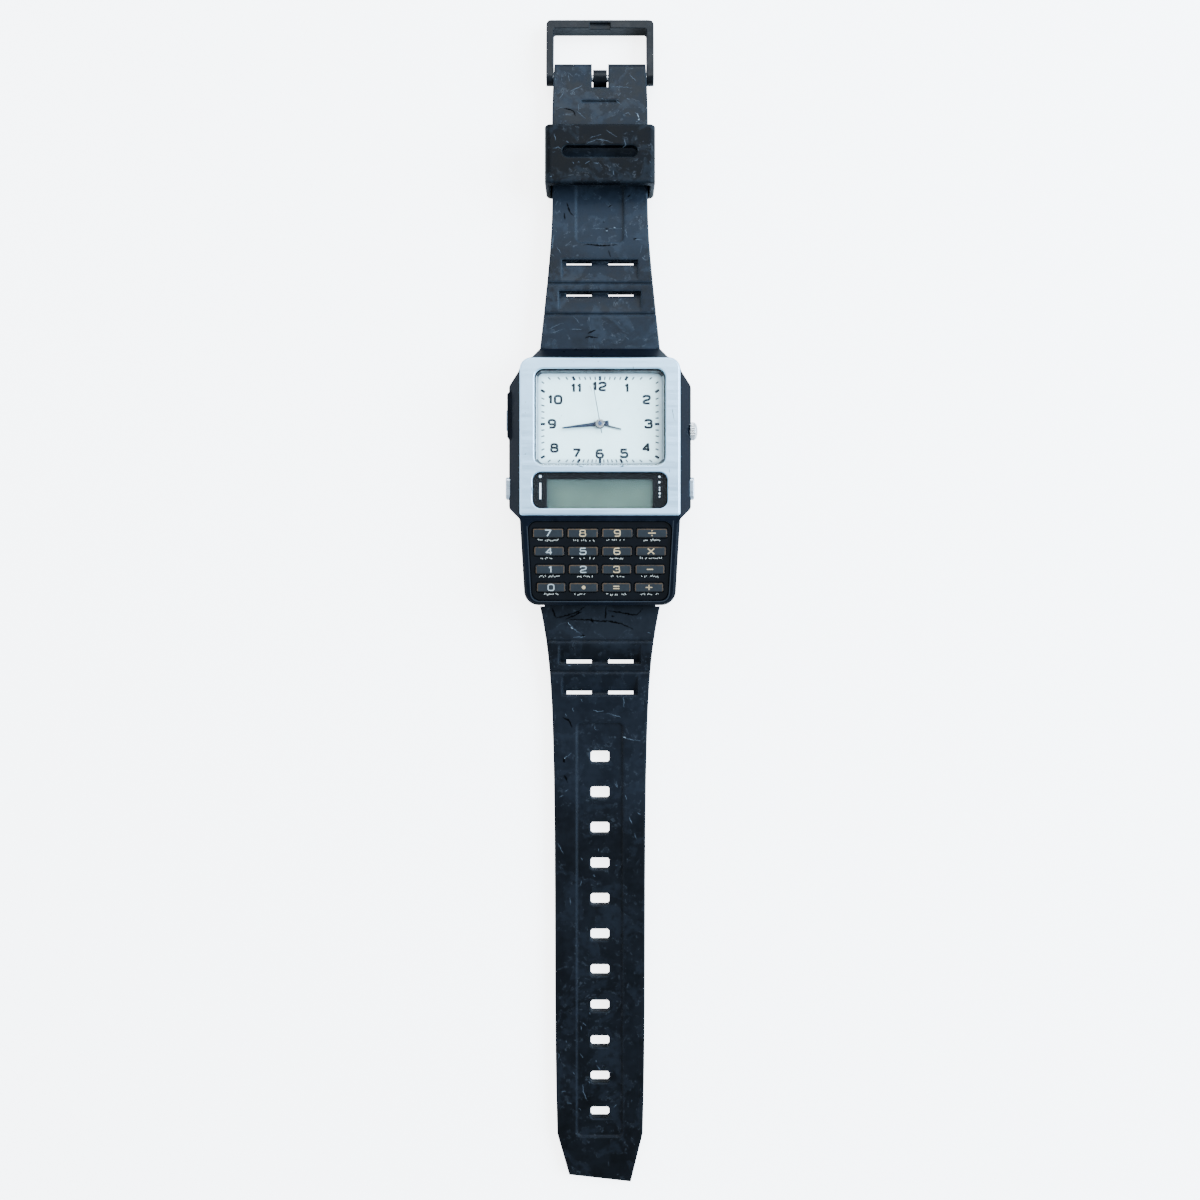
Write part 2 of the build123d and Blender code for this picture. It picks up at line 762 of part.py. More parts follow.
with BuildPart() as battery:
    with BuildSketch(Plane.XY.offset(battery_z)):
        with Locations((0, battery_y)):
            Circle(battery_radius)
    extrude(amount=battery_height - battery_step)
    with BuildSketch(Plane.XY.offset(board_z - battery_step)):
        with Locations((0, battery_y)):
            Circle(battery_radius - battery_lip)
    extrude(amount=battery_step)
save(battery, "battery")

with BuildPart() as circuit_board:
    with BuildSketch(Plane.XY.offset(board_z)):
        RectangleRounded(2 * (cavity_half_width - board_margin), 2 * (cavity_half_length - board_margin),
                         board_corner)
    extrude(amount=board_thickness)
    with BuildSketch(Plane.XY.offset(board_z - chip_height)):
        with Locations((chip_x, chip_y)):
            RectangleRounded(chip_size, chip_size, chip_height)
    extrude(amount=chip_height)
    with Locations(Location((quartz_x, quartz_y, board_z - quartz_radius + running_fit), (90, 0, 0))):
        Cylinder(quartz_radius, quartz_length)
save(circuit_board, "circuit_board")

# Train bridge with the lower pivots, the pillars and the stator's bosses
def bridge_places(shares):
    """Places on the bridge, from shares of its width and height."""
    width = bridge_right - bridge_left
    height = bridge_high - bridge_low
    return [(bridge_left + across * width, bridge_low + up * height) for across, up in shares]


with BuildPart() as train_bridge:
    with BuildSketch(Plane.XY.offset(bridge_z)):
        with Locations(((bridge_left + bridge_right) / 2, (bridge_low + bridge_high) / 2)):
            RectangleRounded(bridge_right - bridge_left, bridge_high - bridge_low, bridge_corner)
    extrude(amount=bridge_thickness)
    with BuildSketch(Plane.XY.offset(bridge_top)):
        with Locations(*bridge_places(pillar_shares)):
            Circle(pillar_radius)
    extrude(amount=pillar_height)
    with BuildSketch(Plane.XY.offset(bridge_top)):
        with Locations(*bridge_places(boss_shares)):
            Circle(boss_radius)
    extrude(amount=stator_rise)
    with BuildSketch(Plane.XY.offset(bridge_z)):
        with Locations(hub, third_axis, intermediate_axis):
            Circle(arbor_radius + pivot_fit)
        with Locations(rotor_axis):
            Circle(rotor_arbor_radius + pivot_fit)
    extrude(amount=bridge_thickness, mode=Mode.SUBTRACT)
save(train_bridge, "train_bridge")

# Movement plate with the upper pivots and the stud of the minute wheel
motion_z = bridge_top + motion_rise
with BuildPart() as movement_plate:
    with BuildSketch(Plane.XY.offset(plate_z)):
        rounded_plate(plate_half_width, plate_low, plate_high, plate_corner)
        with Locations(hub):
            Circle(pipe_radius + running_fit, mode=Mode.SUBTRACT)
        with Locations(third_axis, intermediate_axis):
            Circle(arbor_radius + pivot_fit, mode=Mode.SUBTRACT)
        with Locations(rotor_axis):
            Circle(rotor_arbor_radius + pivot_fit, mode=Mode.SUBTRACT)
    extrude(amount=plate_thickness)
    with BuildSketch(Plane.XY.offset(motion_z)):
        with Locations(motion_axis):
            Circle(stud_radius)
    extrude(amount=plate_z - motion_z)
save(movement_plate, "movement_plate")

# Stator with a leg to each end of the coil
stator_z = bridge_top + stator_rise
with BuildPart() as motor_stator:
    with BuildSketch(Plane.XY.offset(stator_z)):
        with Locations(((stator_left + stator_right) / 2, (stator_low + stator_high) / 2)):
            Rectangle(stator_right - stator_left, stator_high - stator_low)
        with Locations((stator_left + leg_width / 2, (leg_low + stator_low) / 2)):
            Rectangle(leg_width, stator_low - leg_low)
        with Locations((leg_right - leg_width / 2, (leg_low + stator_low) / 2)):
            Rectangle(leg_width, stator_low - leg_low)
        with Locations(((stator_right + leg_right) / 2 - leg_width, stator_low + leg_width / 2)):
            Rectangle(leg_right - stator_right + 2 * leg_width, leg_width)
        with Locations(rotor_axis):
            Circle(stator_hole_radius, mode=Mode.SUBTRACT)
    extrude(amount=stator_thickness)
save(motor_stator, "motor_stator")

core_z = stator_z + stator_thickness
coil_z = core_z + core_thickness / 2
with BuildPart() as motor_coil:
    with BuildSketch(Plane.XY.offset(core_z)):
        with Locations(((stator_left + leg_right) / 2, coil_y)):
            Rectangle(leg_right - stator_left, core_width)
    extrude(amount=core_thickness)
    with BuildSketch(Plane.YZ.offset(coil_left)):
        with Locations((coil_y, coil_z)):
            Circle(coil_radius)
    extrude(amount=coil_right - coil_left)
    for x in (coil_left, coil_right - coil_flange):
        with BuildSketch(Plane.YZ.offset(x)):
            with Locations((coil_y, coil_z)):
                Circle(coil_flange_radius)
        extrude(amount=coil_flange)
save(motor_coil, "motor_coil")


# Gears. A tooth is a trapezoid, and each meshing pair has a tooth of one in a gap of the other
def gear_outline(teeth, module, tooth_angle):
    """The outline of a gear about its own centre, with a tooth pointing at an angle in degrees."""
    pitch_radius = teeth * module / 2
    tip = pitch_radius + tooth_top_share * module
    root = pitch_radius - tooth_root_share * module
    half_foot = tooth_foot_share * pi * module / 2 / pitch_radius
    half_tip = tooth_tip_share * pi * module / 2 / tip
    points = []
    for index in range(teeth):
        middle = radians(tooth_angle) + 2 * pi * index / teeth
        for radius, turn in ((root, -half_foot), (tip, -half_tip), (tip, half_tip), (root, half_foot)):
            points.append((radius * cos(middle + turn), radius * sin(middle + turn)))
    return points


def gear(axis, z, thickness, teeth, module, tooth_angle):
    """Add a gear to the part that is being built."""
    with BuildSketch(Plane.XY.offset(z)) as outline:
        with Locations(axis):
            Polygon(*gear_outline(teeth, module, tooth_angle), align=None)
    extrude(outline.sketch, amount=thickness)


def disc(axis, z, height, radius, mode=Mode.ADD):
    """Add a round boss or arbor to the part, or cut a round hole."""
    with BuildSketch(Plane.XY.offset(z)) as outline:
        with Locations(axis):
            Circle(radius)
    extrude(outline.sketch, amount=height, mode=mode)


def mesh_angles(first_axis, second_axis, second_teeth):
    """Tooth angles, in degrees, that put a tooth of the first gear in a gap of the second."""
    toward = degrees(atan2(second_axis.Y - first_axis.Y, second_axis.X - first_axis.X))
    return toward, toward + 180 + 180 / second_teeth


def mesh_module(distance, first_teeth, second_teeth):
    """The module of two gears from the distance of their axes."""
    return 2 * distance / (first_teeth + second_teeth)


hour_hand_z = dial_top + hand_gap
minute_hand_z = hour_hand_z + hand_thickness + hand_gap
second_hand_z = minute_hand_z + hand_thickness + hand_gap
seconds_z = bridge_top + seconds_rise
third_z = bridge_top + third_rise
centre_z = bridge_top + centre_rise
intermediate_z = bridge_top + intermediate_rise
hour_z = bridge_top + hour_rise
rotor_z = bridge_top + rotor_rise
pivot_foot = bridge_z + pivot_fit
pivot_length = dial_z - pivot_fit - pivot_foot

# Rotor: a round magnet below its pinion
rotor_module = mesh_module(rotor_distance, leaf_count, intermediate_teeth)
rotor_tooth, intermediate_tooth = mesh_angles(rotor_axis, intermediate_axis, intermediate_teeth)
with BuildPart() as motor_rotor:
    disc(rotor_axis, rotor_z, rotor_height, rotor_radius)
    gear(rotor_axis, rotor_z + rotor_height, rotor_pinion_length, leaf_count, rotor_module, rotor_tooth)
    disc(rotor_axis, pivot_foot, pivot_length, rotor_arbor_radius)
save(motor_rotor, "motor_rotor")

# Intermediate wheel, driven by the rotor, with the pinion that drives the seconds wheel
seconds_module = mesh_module(intermediate_distance, leaf_count, seconds_teeth)
intermediate_leaf, seconds_tooth = mesh_angles(intermediate_axis, hub, seconds_teeth)
with BuildPart() as intermediate_wheel:
    gear(intermediate_axis, intermediate_z, wheel_thickness, intermediate_teeth, rotor_module,
         intermediate_tooth)
    gear(intermediate_axis, bridge_top + intermediate_pinion_rise, intermediate_pinion_length, leaf_count,
         seconds_module, intermediate_leaf)
    disc(intermediate_axis, pivot_foot, pivot_length, arbor_radius)
save(intermediate_wheel, "intermediate_wheel")

# Seconds wheel, whose arbor runs up through the centre tube to the second hand
third_module = mesh_module(third_distance, leaf_count, third_teeth)
seconds_leaf, third_tooth = mesh_angles(hub, third_axis, third_teeth)
with BuildPart() as seconds_wheel:
    gear(hub, seconds_z, seconds_thickness, seconds_teeth, seconds_module, seconds_tooth)
    gear(hub, seconds_z + seconds_thickness, seconds_pinion_length, leaf_count, third_module, seconds_leaf)
    disc(hub, pivot_foot, second_hand_z + hand_thickness - pivot_foot, arbor_radius)
save(seconds_wheel, "seconds_wheel")

# Third wheel
centre_module = mesh_module(third_distance, leaf_count, centre_teeth)
third_leaf, centre_tooth = mesh_angles(third_axis, hub, centre_teeth)
with BuildPart() as third_wheel:
    gear(third_axis, third_z, wheel_thickness, third_teeth, third_module, third_tooth)
    gear(third_axis, third_z + wheel_thickness, third_pinion_length, leaf_count, centre_module, third_leaf)
    disc(third_axis, pivot_foot, pivot_length, arbor_radius)
save(third_wheel, "third_wheel")

# Centre wheel and cannon pinion on the tube that carries the minute hand
cannon_module = mesh_module(motion_distance, cannon_leaves, motion_teeth)
cannon_leaf, motion_tooth = mesh_angles(hub, motion_axis, motion_teeth)
with BuildPart() as centre_wheel:
    gear(hub, centre_z, wheel_thickness, centre_teeth, centre_module, centre_tooth)
    gear(hub, bridge_top + cannon_rise, cannon_length, cannon_leaves, cannon_module, cannon_leaf)
    disc(hub, centre_z - centre_foot, minute_hand_z + hand_thickness - centre_z + centre_foot, tube_radius)
    disc(hub, centre_z - centre_foot - cut_overrun, second_hand_z, arbor_radius + running_fit, Mode.SUBTRACT)
save(centre_wheel, "centre_wheel")

# Minute wheel, which turns on the movement plate's stud
hour_module = mesh_module(motion_distance, leaf_count, hour_teeth)
motion_leaf, hour_tooth = mesh_angles(motion_axis, hub, hour_teeth)
with BuildPart() as minute_wheel:
    gear(motion_axis, motion_z, wheel_thickness, motion_teeth, cannon_module, motion_tooth)
    gear(motion_axis, motion_z + wheel_thickness, motion_pinion_length, leaf_count, hour_module, motion_leaf)
    disc(motion_axis, motion_z - cut_overrun, plate_z, stud_radius + running_fit, Mode.SUBTRACT)
save(minute_wheel, "minute_wheel")

# Hour wheel on the pipe that carries the hour hand
with BuildPart() as hour_wheel:
    gear(hub, hour_z, wheel_thickness, hour_teeth, hour_module, hour_tooth)
    disc(hub, hour_z, hour_hand_z + hand_thickness - hour_z, pipe_radius)
    disc(hub, hour_z - cut_overrun, dial_top, tube_radius + running_fit, Mode.SUBTRACT)
save(hour_wheel, "hour_wheel")


def hand_outline(z, length, tail, width, tip, angle, carrier_radius):
    """Add a tapered hand with a ring that fits over the tube or arbor that carries it."""
    with BuildSketch(Plane.XY.offset(z)) as outline:
        with Locations(hub):
            Polygon((-width / 2, -tail), (width / 2, -tail), (width / 2, 0), (tip / 2, length),
                    (-tip / 2, length), (-width / 2, 0), rotation=-angle, align=None)
            Circle(carrier_radius + hand_wall)
            Circle(carrier_radius + press_gap, mode=Mode.SUBTRACT)
    extrude(outline.sketch, amount=hand_thickness)


# Hands
with BuildPart() as hour_hand:
    hand_outline(hour_hand_z, hour_hand_length, hour_hand_tail, hour_hand_width, hour_hand_tip,
                 hour_hand_angle, pipe_radius)
save(hour_hand, "hour_hand")

with BuildPart() as minute_hand:
    hand_outline(minute_hand_z, minute_hand_length, minute_hand_tail, minute_hand_width, minute_hand_tip,
                 minute_hand_angle, tube_radius)
save(minute_hand, "minute_hand")

with BuildPart() as second_hand:
    hand_outline(second_hand_z, second_hand_length, second_hand_tail, second_hand_width, second_hand_tip,
                 second_hand_angle, arbor_radius)
save(second_hand, "second_hand")


# Keypad: panel with sixteen holes, rubber membrane, contact sheet and the keys
def key_place(row, column):
    """Centre and width of a key on the keypad plane."""
    pitch = key_pitch_high + (key_pitch_low - key_pitch_high) * row / (key_rows - 1)
    return (column - (key_columns - 1) / 2) * pitch, key_first_row - row * key_row_pitch, pitch - key_web


with BuildPart() as keypad_panel:
    with BuildSketch(pad_plane.offset(panel_under_w)) as panel_plan:
        pad_outline(running_fit)
        fillet(panel_plan.vertices(), pocket_corner)
        for row in range(key_rows):
            for column in range(key_columns):
                u, v, width = key_place(row, column)
                with Locations((u, v)):
                    cut_rectangle(width + 2 * seat_gap, key_depth + 2 * seat_gap, key_cut, Mode.SUBTRACT)
    extrude(amount=panel_thickness)
save(keypad_panel, "keypad_panel")

with BuildPart() as keypad_membrane:
    with BuildSketch(pad_plane.offset(membrane_under_w)) as membrane_plan:
        pad_outline(pocket_ledge + running_fit)
        fillet(membrane_plan.vertices(), pocket_corner - pocket_ledge)
    extrude(amount=membrane_thickness)
save(keypad_membrane, "keypad_membrane")

with BuildPart() as keypad_contacts:
    with BuildSketch(pad_plane.offset(pocket_floor_w)) as contacts_plan:
        pad_outline(pocket_ledge + seat_gap)
        fillet(contacts_plan.vertices(), pocket_corner - pocket_ledge)
    extrude(amount=contacts_thickness)
save(keypad_contacts, "keypad_contacts")

key_names = ["7", "8", "9", "divide", "4", "5", "6", "multiply",
             "1", "2", "3", "minus", "0", "point", "equals", "plus"]
for index, key_name in enumerate(key_names):
    u, v, width = key_place(index // key_columns, index % key_columns)
    with BuildPart() as key:
        with BuildSketch(pad_plane.offset(lip_under_w)):
            with Locations((u, v)):
                Rectangle(width, key_depth + 2 * (seat_gap + key_lip))
        extrude(amount=key_lip_thickness)
        with BuildSketch(pad_plane.offset(lip_top_w)):
            with Locations((u, v)):
                cut_rectangle(width, key_depth, key_cut)
        extrude(amount=-key_sink - lip_top_w)
        chamfer(key.faces().filter_by(pad_plane).sort_by(Axis.Z)[-1].edges(), key_edge)
    save(key, f"key_{key_name}")


# Push buttons with a shaft through the case wall and a collar inside it
def push_button(name, side, y, length, face, proud):
    """Build one button on the right (side 1) or left (side -1), proud of the face it stands in."""
    cap_start = face + proud - button_cap_depth
    collar_start = cavity_half_width - button_collar_gap - button_collar_thickness
    with BuildPart() as button:
        with BuildSketch(Plane.YZ.offset(side * cap_start)):
            with Locations((y, button_height)):
                RectangleRounded(length, button_cap_height, button_corner)
        extrude(amount=side * button_cap_depth)
        chamfer(button.faces().filter_by(Axis.X).sort_by(Axis.X)[-1 if side > 0 else 0].edges(), key_edge)
        with BuildSketch(Plane.YZ.offset(side * collar_start)):
            with Locations((y, button_height)):
                Circle(button_shaft_radius)
        extrude(amount=side * (cap_start - collar_start))
        with BuildSketch(Plane.YZ.offset(side * collar_start)):
            with Locations((y, button_height)):
                Circle(button_collar_radius)
        extrude(amount=side * button_collar_thickness)
    save(button, name)


push_button("button_lower_right", 1, button_low_y, button_low_length, case_half, button_low_proud)
push_button("button_lower_left", -1, button_low_y, button_low_length, case_half, button_low_proud)
push_button("button_upper_left", -1, button_high_y, button_high_length, button_high_face, button_high_proud)

# Crown and stem, drawn as half sections on a plane through their common axis
stem_plane = Plane(origin=(0, crown_y, button_height), x_dir=(1, 0, 0), z_dir=(0, -1, 0))
stem_axis = Axis((0, crown_y, button_height), (1, 0, 0))
crown_base = case_half - crown_pocket_depth + seat_gap
crown_end = crown_base + crown_length
crown_rim = crown_end - crown_dome - crown_edge
crown_face = crown_radius - crown_edge
crown_curve = (crown_face ** 2 + crown_dome ** 2) / (2 * crown_dome)
crown_bow = crown_curve - sqrt(crown_curve ** 2 - (crown_face / 2) ** 2)
with BuildPart() as crown:
    with BuildSketch(stem_plane):
        with BuildLine():
            Polyline((crown_end, 0), (crown_base, 0), (crown_base, crown_radius), (crown_rim, crown_radius),
                     (crown_rim + crown_edge, crown_face))
            ThreePointArc((crown_rim + crown_edge, crown_face), (crown_end - crown_bow, crown_face / 2),
                          (crown_end, 0))
        make_face()
    revolve(axis=stem_axis)
    with BuildSketch(Plane.YZ.offset(crown_base)):
        with Locations((crown_y, button_height)):
            Circle(stem_radius + press_gap)
    extrude(amount=stem_socket, mode=Mode.SUBTRACT)
    with BuildSketch(Plane.YZ.offset(crown_base)):
        with Locations((crown_y, button_height)):
            with PolarLocations(crown_radius, crown_flutes):
                RegularPolygon(crown_flute_depth, 4)
    extrude(amount=crown_rim - crown_base, mode=Mode.SUBTRACT)
save(crown, "crown")

stem_groove_x = stem_collar_x + stem_collar_width
with BuildPart() as stem:
    with BuildSketch(stem_plane):
        with BuildLine():
            Polyline((stem_inner_end, 0), (stem_inner_end, stem_radius), (stem_collar_x, stem_radius),
                     (stem_collar_x, stem_collar_radius), (stem_groove_x, stem_collar_radius),
                     (stem_groove_x, stem_radius), (stem_groove_x + stem_groove, stem_radius),
                     (stem_groove_x + stem_groove, stem_collar_radius),
                     (stem_groove_x + stem_groove + stem_collar_width, stem_collar_radius),
                     (stem_groove_x + stem_groove + stem_collar_width, stem_radius),
                     (crown_base + stem_socket, stem_radius), (crown_base + stem_socket, 0), close=True)
        make_face()
    revolve(axis=stem_axis)
save(stem, "stem")

# Setting lever: a foot that slides on the circuit board, with a fork in the stem's groove
lever_x = stem_groove_x + stem_groove / 2
with BuildPart() as setting_lever:
    with BuildSketch(Plane.XY.offset(bridge_z)):
        with Locations((lever_x + (lever_foot_front - lever_foot_back) / 2,
                        crown_y + (lever_foot_low + lever_foot_high) / 2)):
            Rectangle(lever_foot_front + lever_foot_back, lever_foot_high - lever_foot_low)
    extrude(amount=lever_foot_thickness)
    with BuildSketch(Plane.YZ.offset(lever_x - lever_thickness / 2)):
        with Locations((crown_y, (bridge_z + button_height + lever_top) / 2)):
            Rectangle(2 * lever_half_width, button_height + lever_top - bridge_z)
        with Locations((crown_y, button_height)):
            Circle(stem_radius + running_fit, mode=Mode.SUBTRACT)
        with Locations((crown_y, button_height + lever_top / 2 + cut_overrun / 2)):
            Rectangle(2 * (stem_radius + running_fit), lever_top + cut_overrun, mode=Mode.SUBTRACT)
    extrude(amount=lever_thickness)
save(setting_lever, "setting_lever")

# Spring bars
with BuildPart() as spring_bars:
    for side in (-1, 1):
        with Locations(Location((0, side * bar_reach, bar_height), (0, 90, 0))):
            Cylinder(bar_radius, 2 * (strap_root_half_width - bar_end_gap))
            Cylinder(bar_tip_radius, 2 * (strap_root_half_width + bar_tip_length))
save(spring_bars, "spring_bars")


# Strap halves. Each is a side profile cut to its plan outline. Both are drawn away from the case
def side_plane(side):
    """The middle plane of a strap half, with its first axis running away from the case."""
    return Plane(origin=(0, 0, 0), x_dir=(0, side, 0), z_dir=(side, 0, 0))


def plan_plane(side, z=0):
    """A level plane whose second axis runs away from the case."""
    return Plane(origin=(0, 0, z), x_dir=(side, 0, 0), z_dir=(0, 0, 1))


def level_at(points, reach):
    """Height of a chain of points at a distance from the middle of the case."""
    for (start, low), (end, high) in zip(points, points[1:]):
        if start <= reach <= end:
            return low + (high - low) * (reach - start) / (end - start)
    return points[-1][1]


def strap_rows(side, top):
    """Cut both rows of slots, their ramped recesses and the two creases into a strap half."""
    for start, half_width in ((slot_near_y, slot_near_half_width), (slot_far_y, slot_far_half_width)):
        end = start + slot_reach
        with BuildSketch(side_plane(side)) as ramp:
            with BuildLine():
                Polyline((start, level_at(top, start)), (end, level_at(top, end) - slot_depth),
                         (end, wing_top + cut_overrun), (start, wing_top + cut_overrun), close=True)
            make_face()
        extrude(ramp.sketch, amount=half_width, both=True, mode=Mode.SUBTRACT)
        with BuildSketch(plan_plane(side, -cut_overrun)) as slots:
            for across in (-1, 1):
                with Locations((across * (slot_bridge + slot_length) / 2, end - slot_width / 2)):
                    Rectangle(slot_length, slot_width)
        extrude(slots.sketch, amount=wing_top + 2 * cut_overrun, mode=Mode.SUBTRACT)
    for reach in (groove_near_y, groove_far_y):
        with BuildSketch(side_plane(side)) as crease:
            with Locations((reach, level_at(top, reach))):
                Rectangle(groove_width, 2 * groove_depth)
        extrude(crease.sketch, amount=wing_half_width + cut_overrun, both=True, mode=Mode.SUBTRACT)


def strap_root(side):
    """Round the strap's root about the spring bar and bore it."""
    with Locations(Location((0, side * bar_reach, bar_height), (0, 90, 0))):
        Cylinder(strap_root_radius, 2 * strap_root_half_width)
        Cylinder(bar_radius + running_fit, 2 * (strap_root_half_width + cut_overrun), mode=Mode.SUBTRACT)


def width_points(shares, end):
    """Half widths along a strap, from shares of its free length and of its width at the case."""
    return [(wing_half_width * wide, strap_wing_y + along * (end - strap_wing_y)) for along, wide in shares]


root_points = [(strap_root_half_width, bar_reach), (strap_root_half_width, strap_wing_y)]
hole_top = [(strap_wing_y + along * (tip_start - strap_wing_y),
             hole_thickness + rise * (wing_top - hole_thickness)) for along, rise in hole_top_shares]
hole_top += [(tip_start, hole_thickness), (tip_y, tip_thickness)]
hole_edge = width_points(hole_width_shares, tip_start)
with BuildPart() as strap_hole_side:
    with BuildSketch(side_plane(-1)):
        with BuildLine():
            Polyline((bar_reach, bar_height + strap_root_radius), *hole_top, (tip_y, 0), (hole_landing, 0),
                     (bar_reach, bar_height - strap_root_radius), close=True)
        make_face()
    extrude(amount=wing_half_width + cut_overrun, both=True)
    with BuildSketch(plan_plane(-1)) as strap_plan:
        with BuildLine():
            Spline(*hole_edge)
            Polyline(hole_edge[-1], (tip_half_width, tip_y - tip_skew), (-tip_half_width, tip_y),
                     (-hole_edge[-1][0], hole_edge[-1][1]))
            Spline(*[(-x, y) for x, y in reversed(hole_edge)])
            Polyline((-wing_half_width, strap_wing_y), *[(-x, y) for x, y in reversed(root_points)],
                     *root_points, (wing_half_width, strap_wing_y))
        make_face()
        fillet(strap_plan.vertices().sort_by(Axis.Y)[:2], tip_corner)
    extrude(amount=wing_top + cut_overrun, mode=Mode.INTERSECT)
    strap_root(-1)
    strap_rows(-1, hole_top)
    with BuildSketch(plan_plane(-1, hole_thickness - channel_depth)):
        rounded_plate(channel_half_width, channel_start, channel_end, channel_corner)
    extrude(amount=channel_depth + cut_overrun, mode=Mode.SUBTRACT)
    with BuildSketch(plan_plane(-1, -cut_overrun)):
        for index in range(hole_count):
            with Locations((0, hole_first + index * hole_pitch)):
                cut_rectangle(hole_length, hole_width, hole_cut)
    extrude(amount=wing_top + cut_overrun, mode=Mode.SUBTRACT)
save(strap_hole_side, "strap_hole_side")

flat_top = flat_underside + flat_thickness
eye_low = buckle_z - buckle_eye_radius
eye_high = buckle_z + buckle_eye_radius
buckle_eye_end = buckle_strap_end - buckle_eye_radius
buckle_top = [(strap_wing_y, wing_top), (flat_start, flat_top), (flat_end, flat_top), (buckle_y, eye_high)]
buckle_strap_edge = width_points(buckle_width_shares, buckle_strap_end)
with BuildPart() as strap_buckle_side:
    with BuildSketch(side_plane(1)):
        with BuildLine():
            Polyline((buckle_eye_end, eye_low), (buckle_y, eye_low), (flat_end, flat_underside),
                     (flat_start, flat_underside), (bar_reach, bar_height - strap_root_radius),
                     (bar_reach, bar_height + strap_root_radius), *buckle_top, (buckle_eye_end, eye_high))
            CenterArc((buckle_eye_end, buckle_z), buckle_eye_radius, -90, 180)
        make_face()
    extrude(amount=wing_half_width + cut_overrun, both=True)
    with BuildSketch(plan_plane(1)):
        with BuildLine():
            Spline(*buckle_strap_edge)
            Line(buckle_strap_edge[-1], (-buckle_strap_edge[-1][0], buckle_strap_end))
            Spline(*[(-x, y) for x, y in reversed(buckle_strap_edge)])
            Polyline((-wing_half_width, strap_wing_y), *[(-x, y) for x, y in reversed(root_points)],
                     *root_points, (wing_half_width, strap_wing_y))
        make_face()
    extrude(amount=wing_top + cut_overrun, mode=Mode.INTERSECT)
    strap_root(1)
    strap_rows(1, buckle_top)
    with BuildSketch(plan_plane(1, flat_top - panel_recess_depth)):
        rounded_plate(panel_recess_half_width, panel_recess_near, panel_recess_far, channel_corner)
    extrude(amount=panel_recess_depth + cut_overrun, mode=Mode.SUBTRACT)
    with BuildSketch(side_plane(1)):
        with Locations((mark_y, level_at(buckle_top, mark_y))):
            Rectangle(mark_width, 2 * mark_depth)
    extrude(amount=mark_length / 2, both=True, mode=Mode.SUBTRACT)
    # Notch for the tongue and the bore for the buckle's bar
    with BuildSketch(plan_plane(1)):
        with Locations((0, (buckle_y - notch_reach + buckle_strap_end + cut_overrun) / 2)):
            Rectangle(2 * notch_half_width, buckle_strap_end + cut_overrun - buckle_y + notch_reach)
    extrude(amount=wing_top + cut_overrun, mode=Mode.SUBTRACT)
    with Locations(Location((0, buckle_y, buckle_z), (0, 90, 0))):
        Cylinder(buckle_pin_radius + running_fit, 2 * wing_half_width, mode=Mode.SUBTRACT)
save(strap_buckle_side, "strap_buckle_side")

# Buckle frame, its bar and its tongue
buckle_half = buckle_width / 2
with BuildPart() as buckle_frame:
    with BuildSketch(side_plane(1)):
        with BuildLine():
            Polyline((buckle_y, eye_high), (buckle_end_y - buckle_edge, buckle_height),
                     (buckle_end_y, buckle_height - buckle_edge), (buckle_end_y, 0),
                     (buckle_end_y - 2 * buckle_bar_depth, 0), (buckle_y, eye_low))
            CenterArc((buckle_y, buckle_z), buckle_eye_radius, 90, 180)
        make_face()
    extrude(amount=buckle_half, both=True)
    with BuildSketch(Plane.XY) as frame_plan:
        with Locations((0, (buckle_end_y + buckle_y - lug_radius) / 2)):
            Rectangle(buckle_width, buckle_end_y - buckle_y + lug_radius)
        fillet(frame_plan.vertices().group_by(Axis.Y)[-1], buckle_corner)
    extrude(amount=eye_high, mode=Mode.INTERSECT)
    with BuildSketch(Plane.XY) as window_plan:
        with Locations((0, (buckle_end_y - buckle_bar_depth + buckle_y - lug_radius) / 2)):
            Rectangle(buckle_width - 2 * buckle_arm, buckle_end_y - buckle_bar_depth - buckle_y + lug_radius)
        fillet(window_plan.vertices().group_by(Axis.Y)[-1], buckle_inner_corner)
    extrude(amount=eye_high + cut_overrun, mode=Mode.SUBTRACT)
    with Locations(Location((0, buckle_y, buckle_z), (0, 90, 0))):
        Cylinder(buckle_pin_radius + press_gap, 2 * (buckle_half - buckle_pin_inset + press_gap),
                 mode=Mode.SUBTRACT)
    with BuildSketch(Plane.XY.offset(buckle_height - rest_depth)):
        with Locations((0, buckle_end_y - buckle_bar_depth + rest_reach / 2 - cut_overrun / 2)):
            Rectangle(2 * rest_half_width, rest_reach + cut_overrun)
    extrude(amount=rest_depth + cut_overrun, mode=Mode.SUBTRACT)
save(buckle_frame, "buckle_frame")

with BuildPart() as buckle_bar:
    with Locations(Location((0, buckle_y, buckle_z), (0, 90, 0))):
        Cylinder(buckle_pin_radius, 2 * (buckle_half - buckle_pin_inset))
save(buckle_bar, "buckle_bar")

tongue_bore = buckle_pin_radius + running_fit
tongue_eye = tongue_bore + tongue_thickness
tongue_bend = buckle_y - notch_reach + seat_gap
tongue_top = tongue_floor + tongue_thickness
tongue_end = buckle_y - tongue_reach
with BuildPart() as buckle_tongue:
    with BuildSketch(side_plane(1)):
        with BuildLine():
            Polyline((buckle_y, buckle_z - tongue_eye), (tongue_bend, tongue_floor),
                     (tongue_end, tongue_floor), (tongue_end, tongue_floor + tongue_tip),
                     (tongue_end + tongue_thickness, tongue_top), (tongue_bend, tongue_top),
                     (buckle_y - tongue_eye, buckle_z - tongue_bore), close=True)
        make_face()
        with Locations((buckle_y, buckle_z)):
            Circle(tongue_eye)
            Circle(tongue_bore, mode=Mode.SUBTRACT)
    extrude(amount=tongue_half_width, both=True)
save(buckle_tongue, "buckle_tongue")

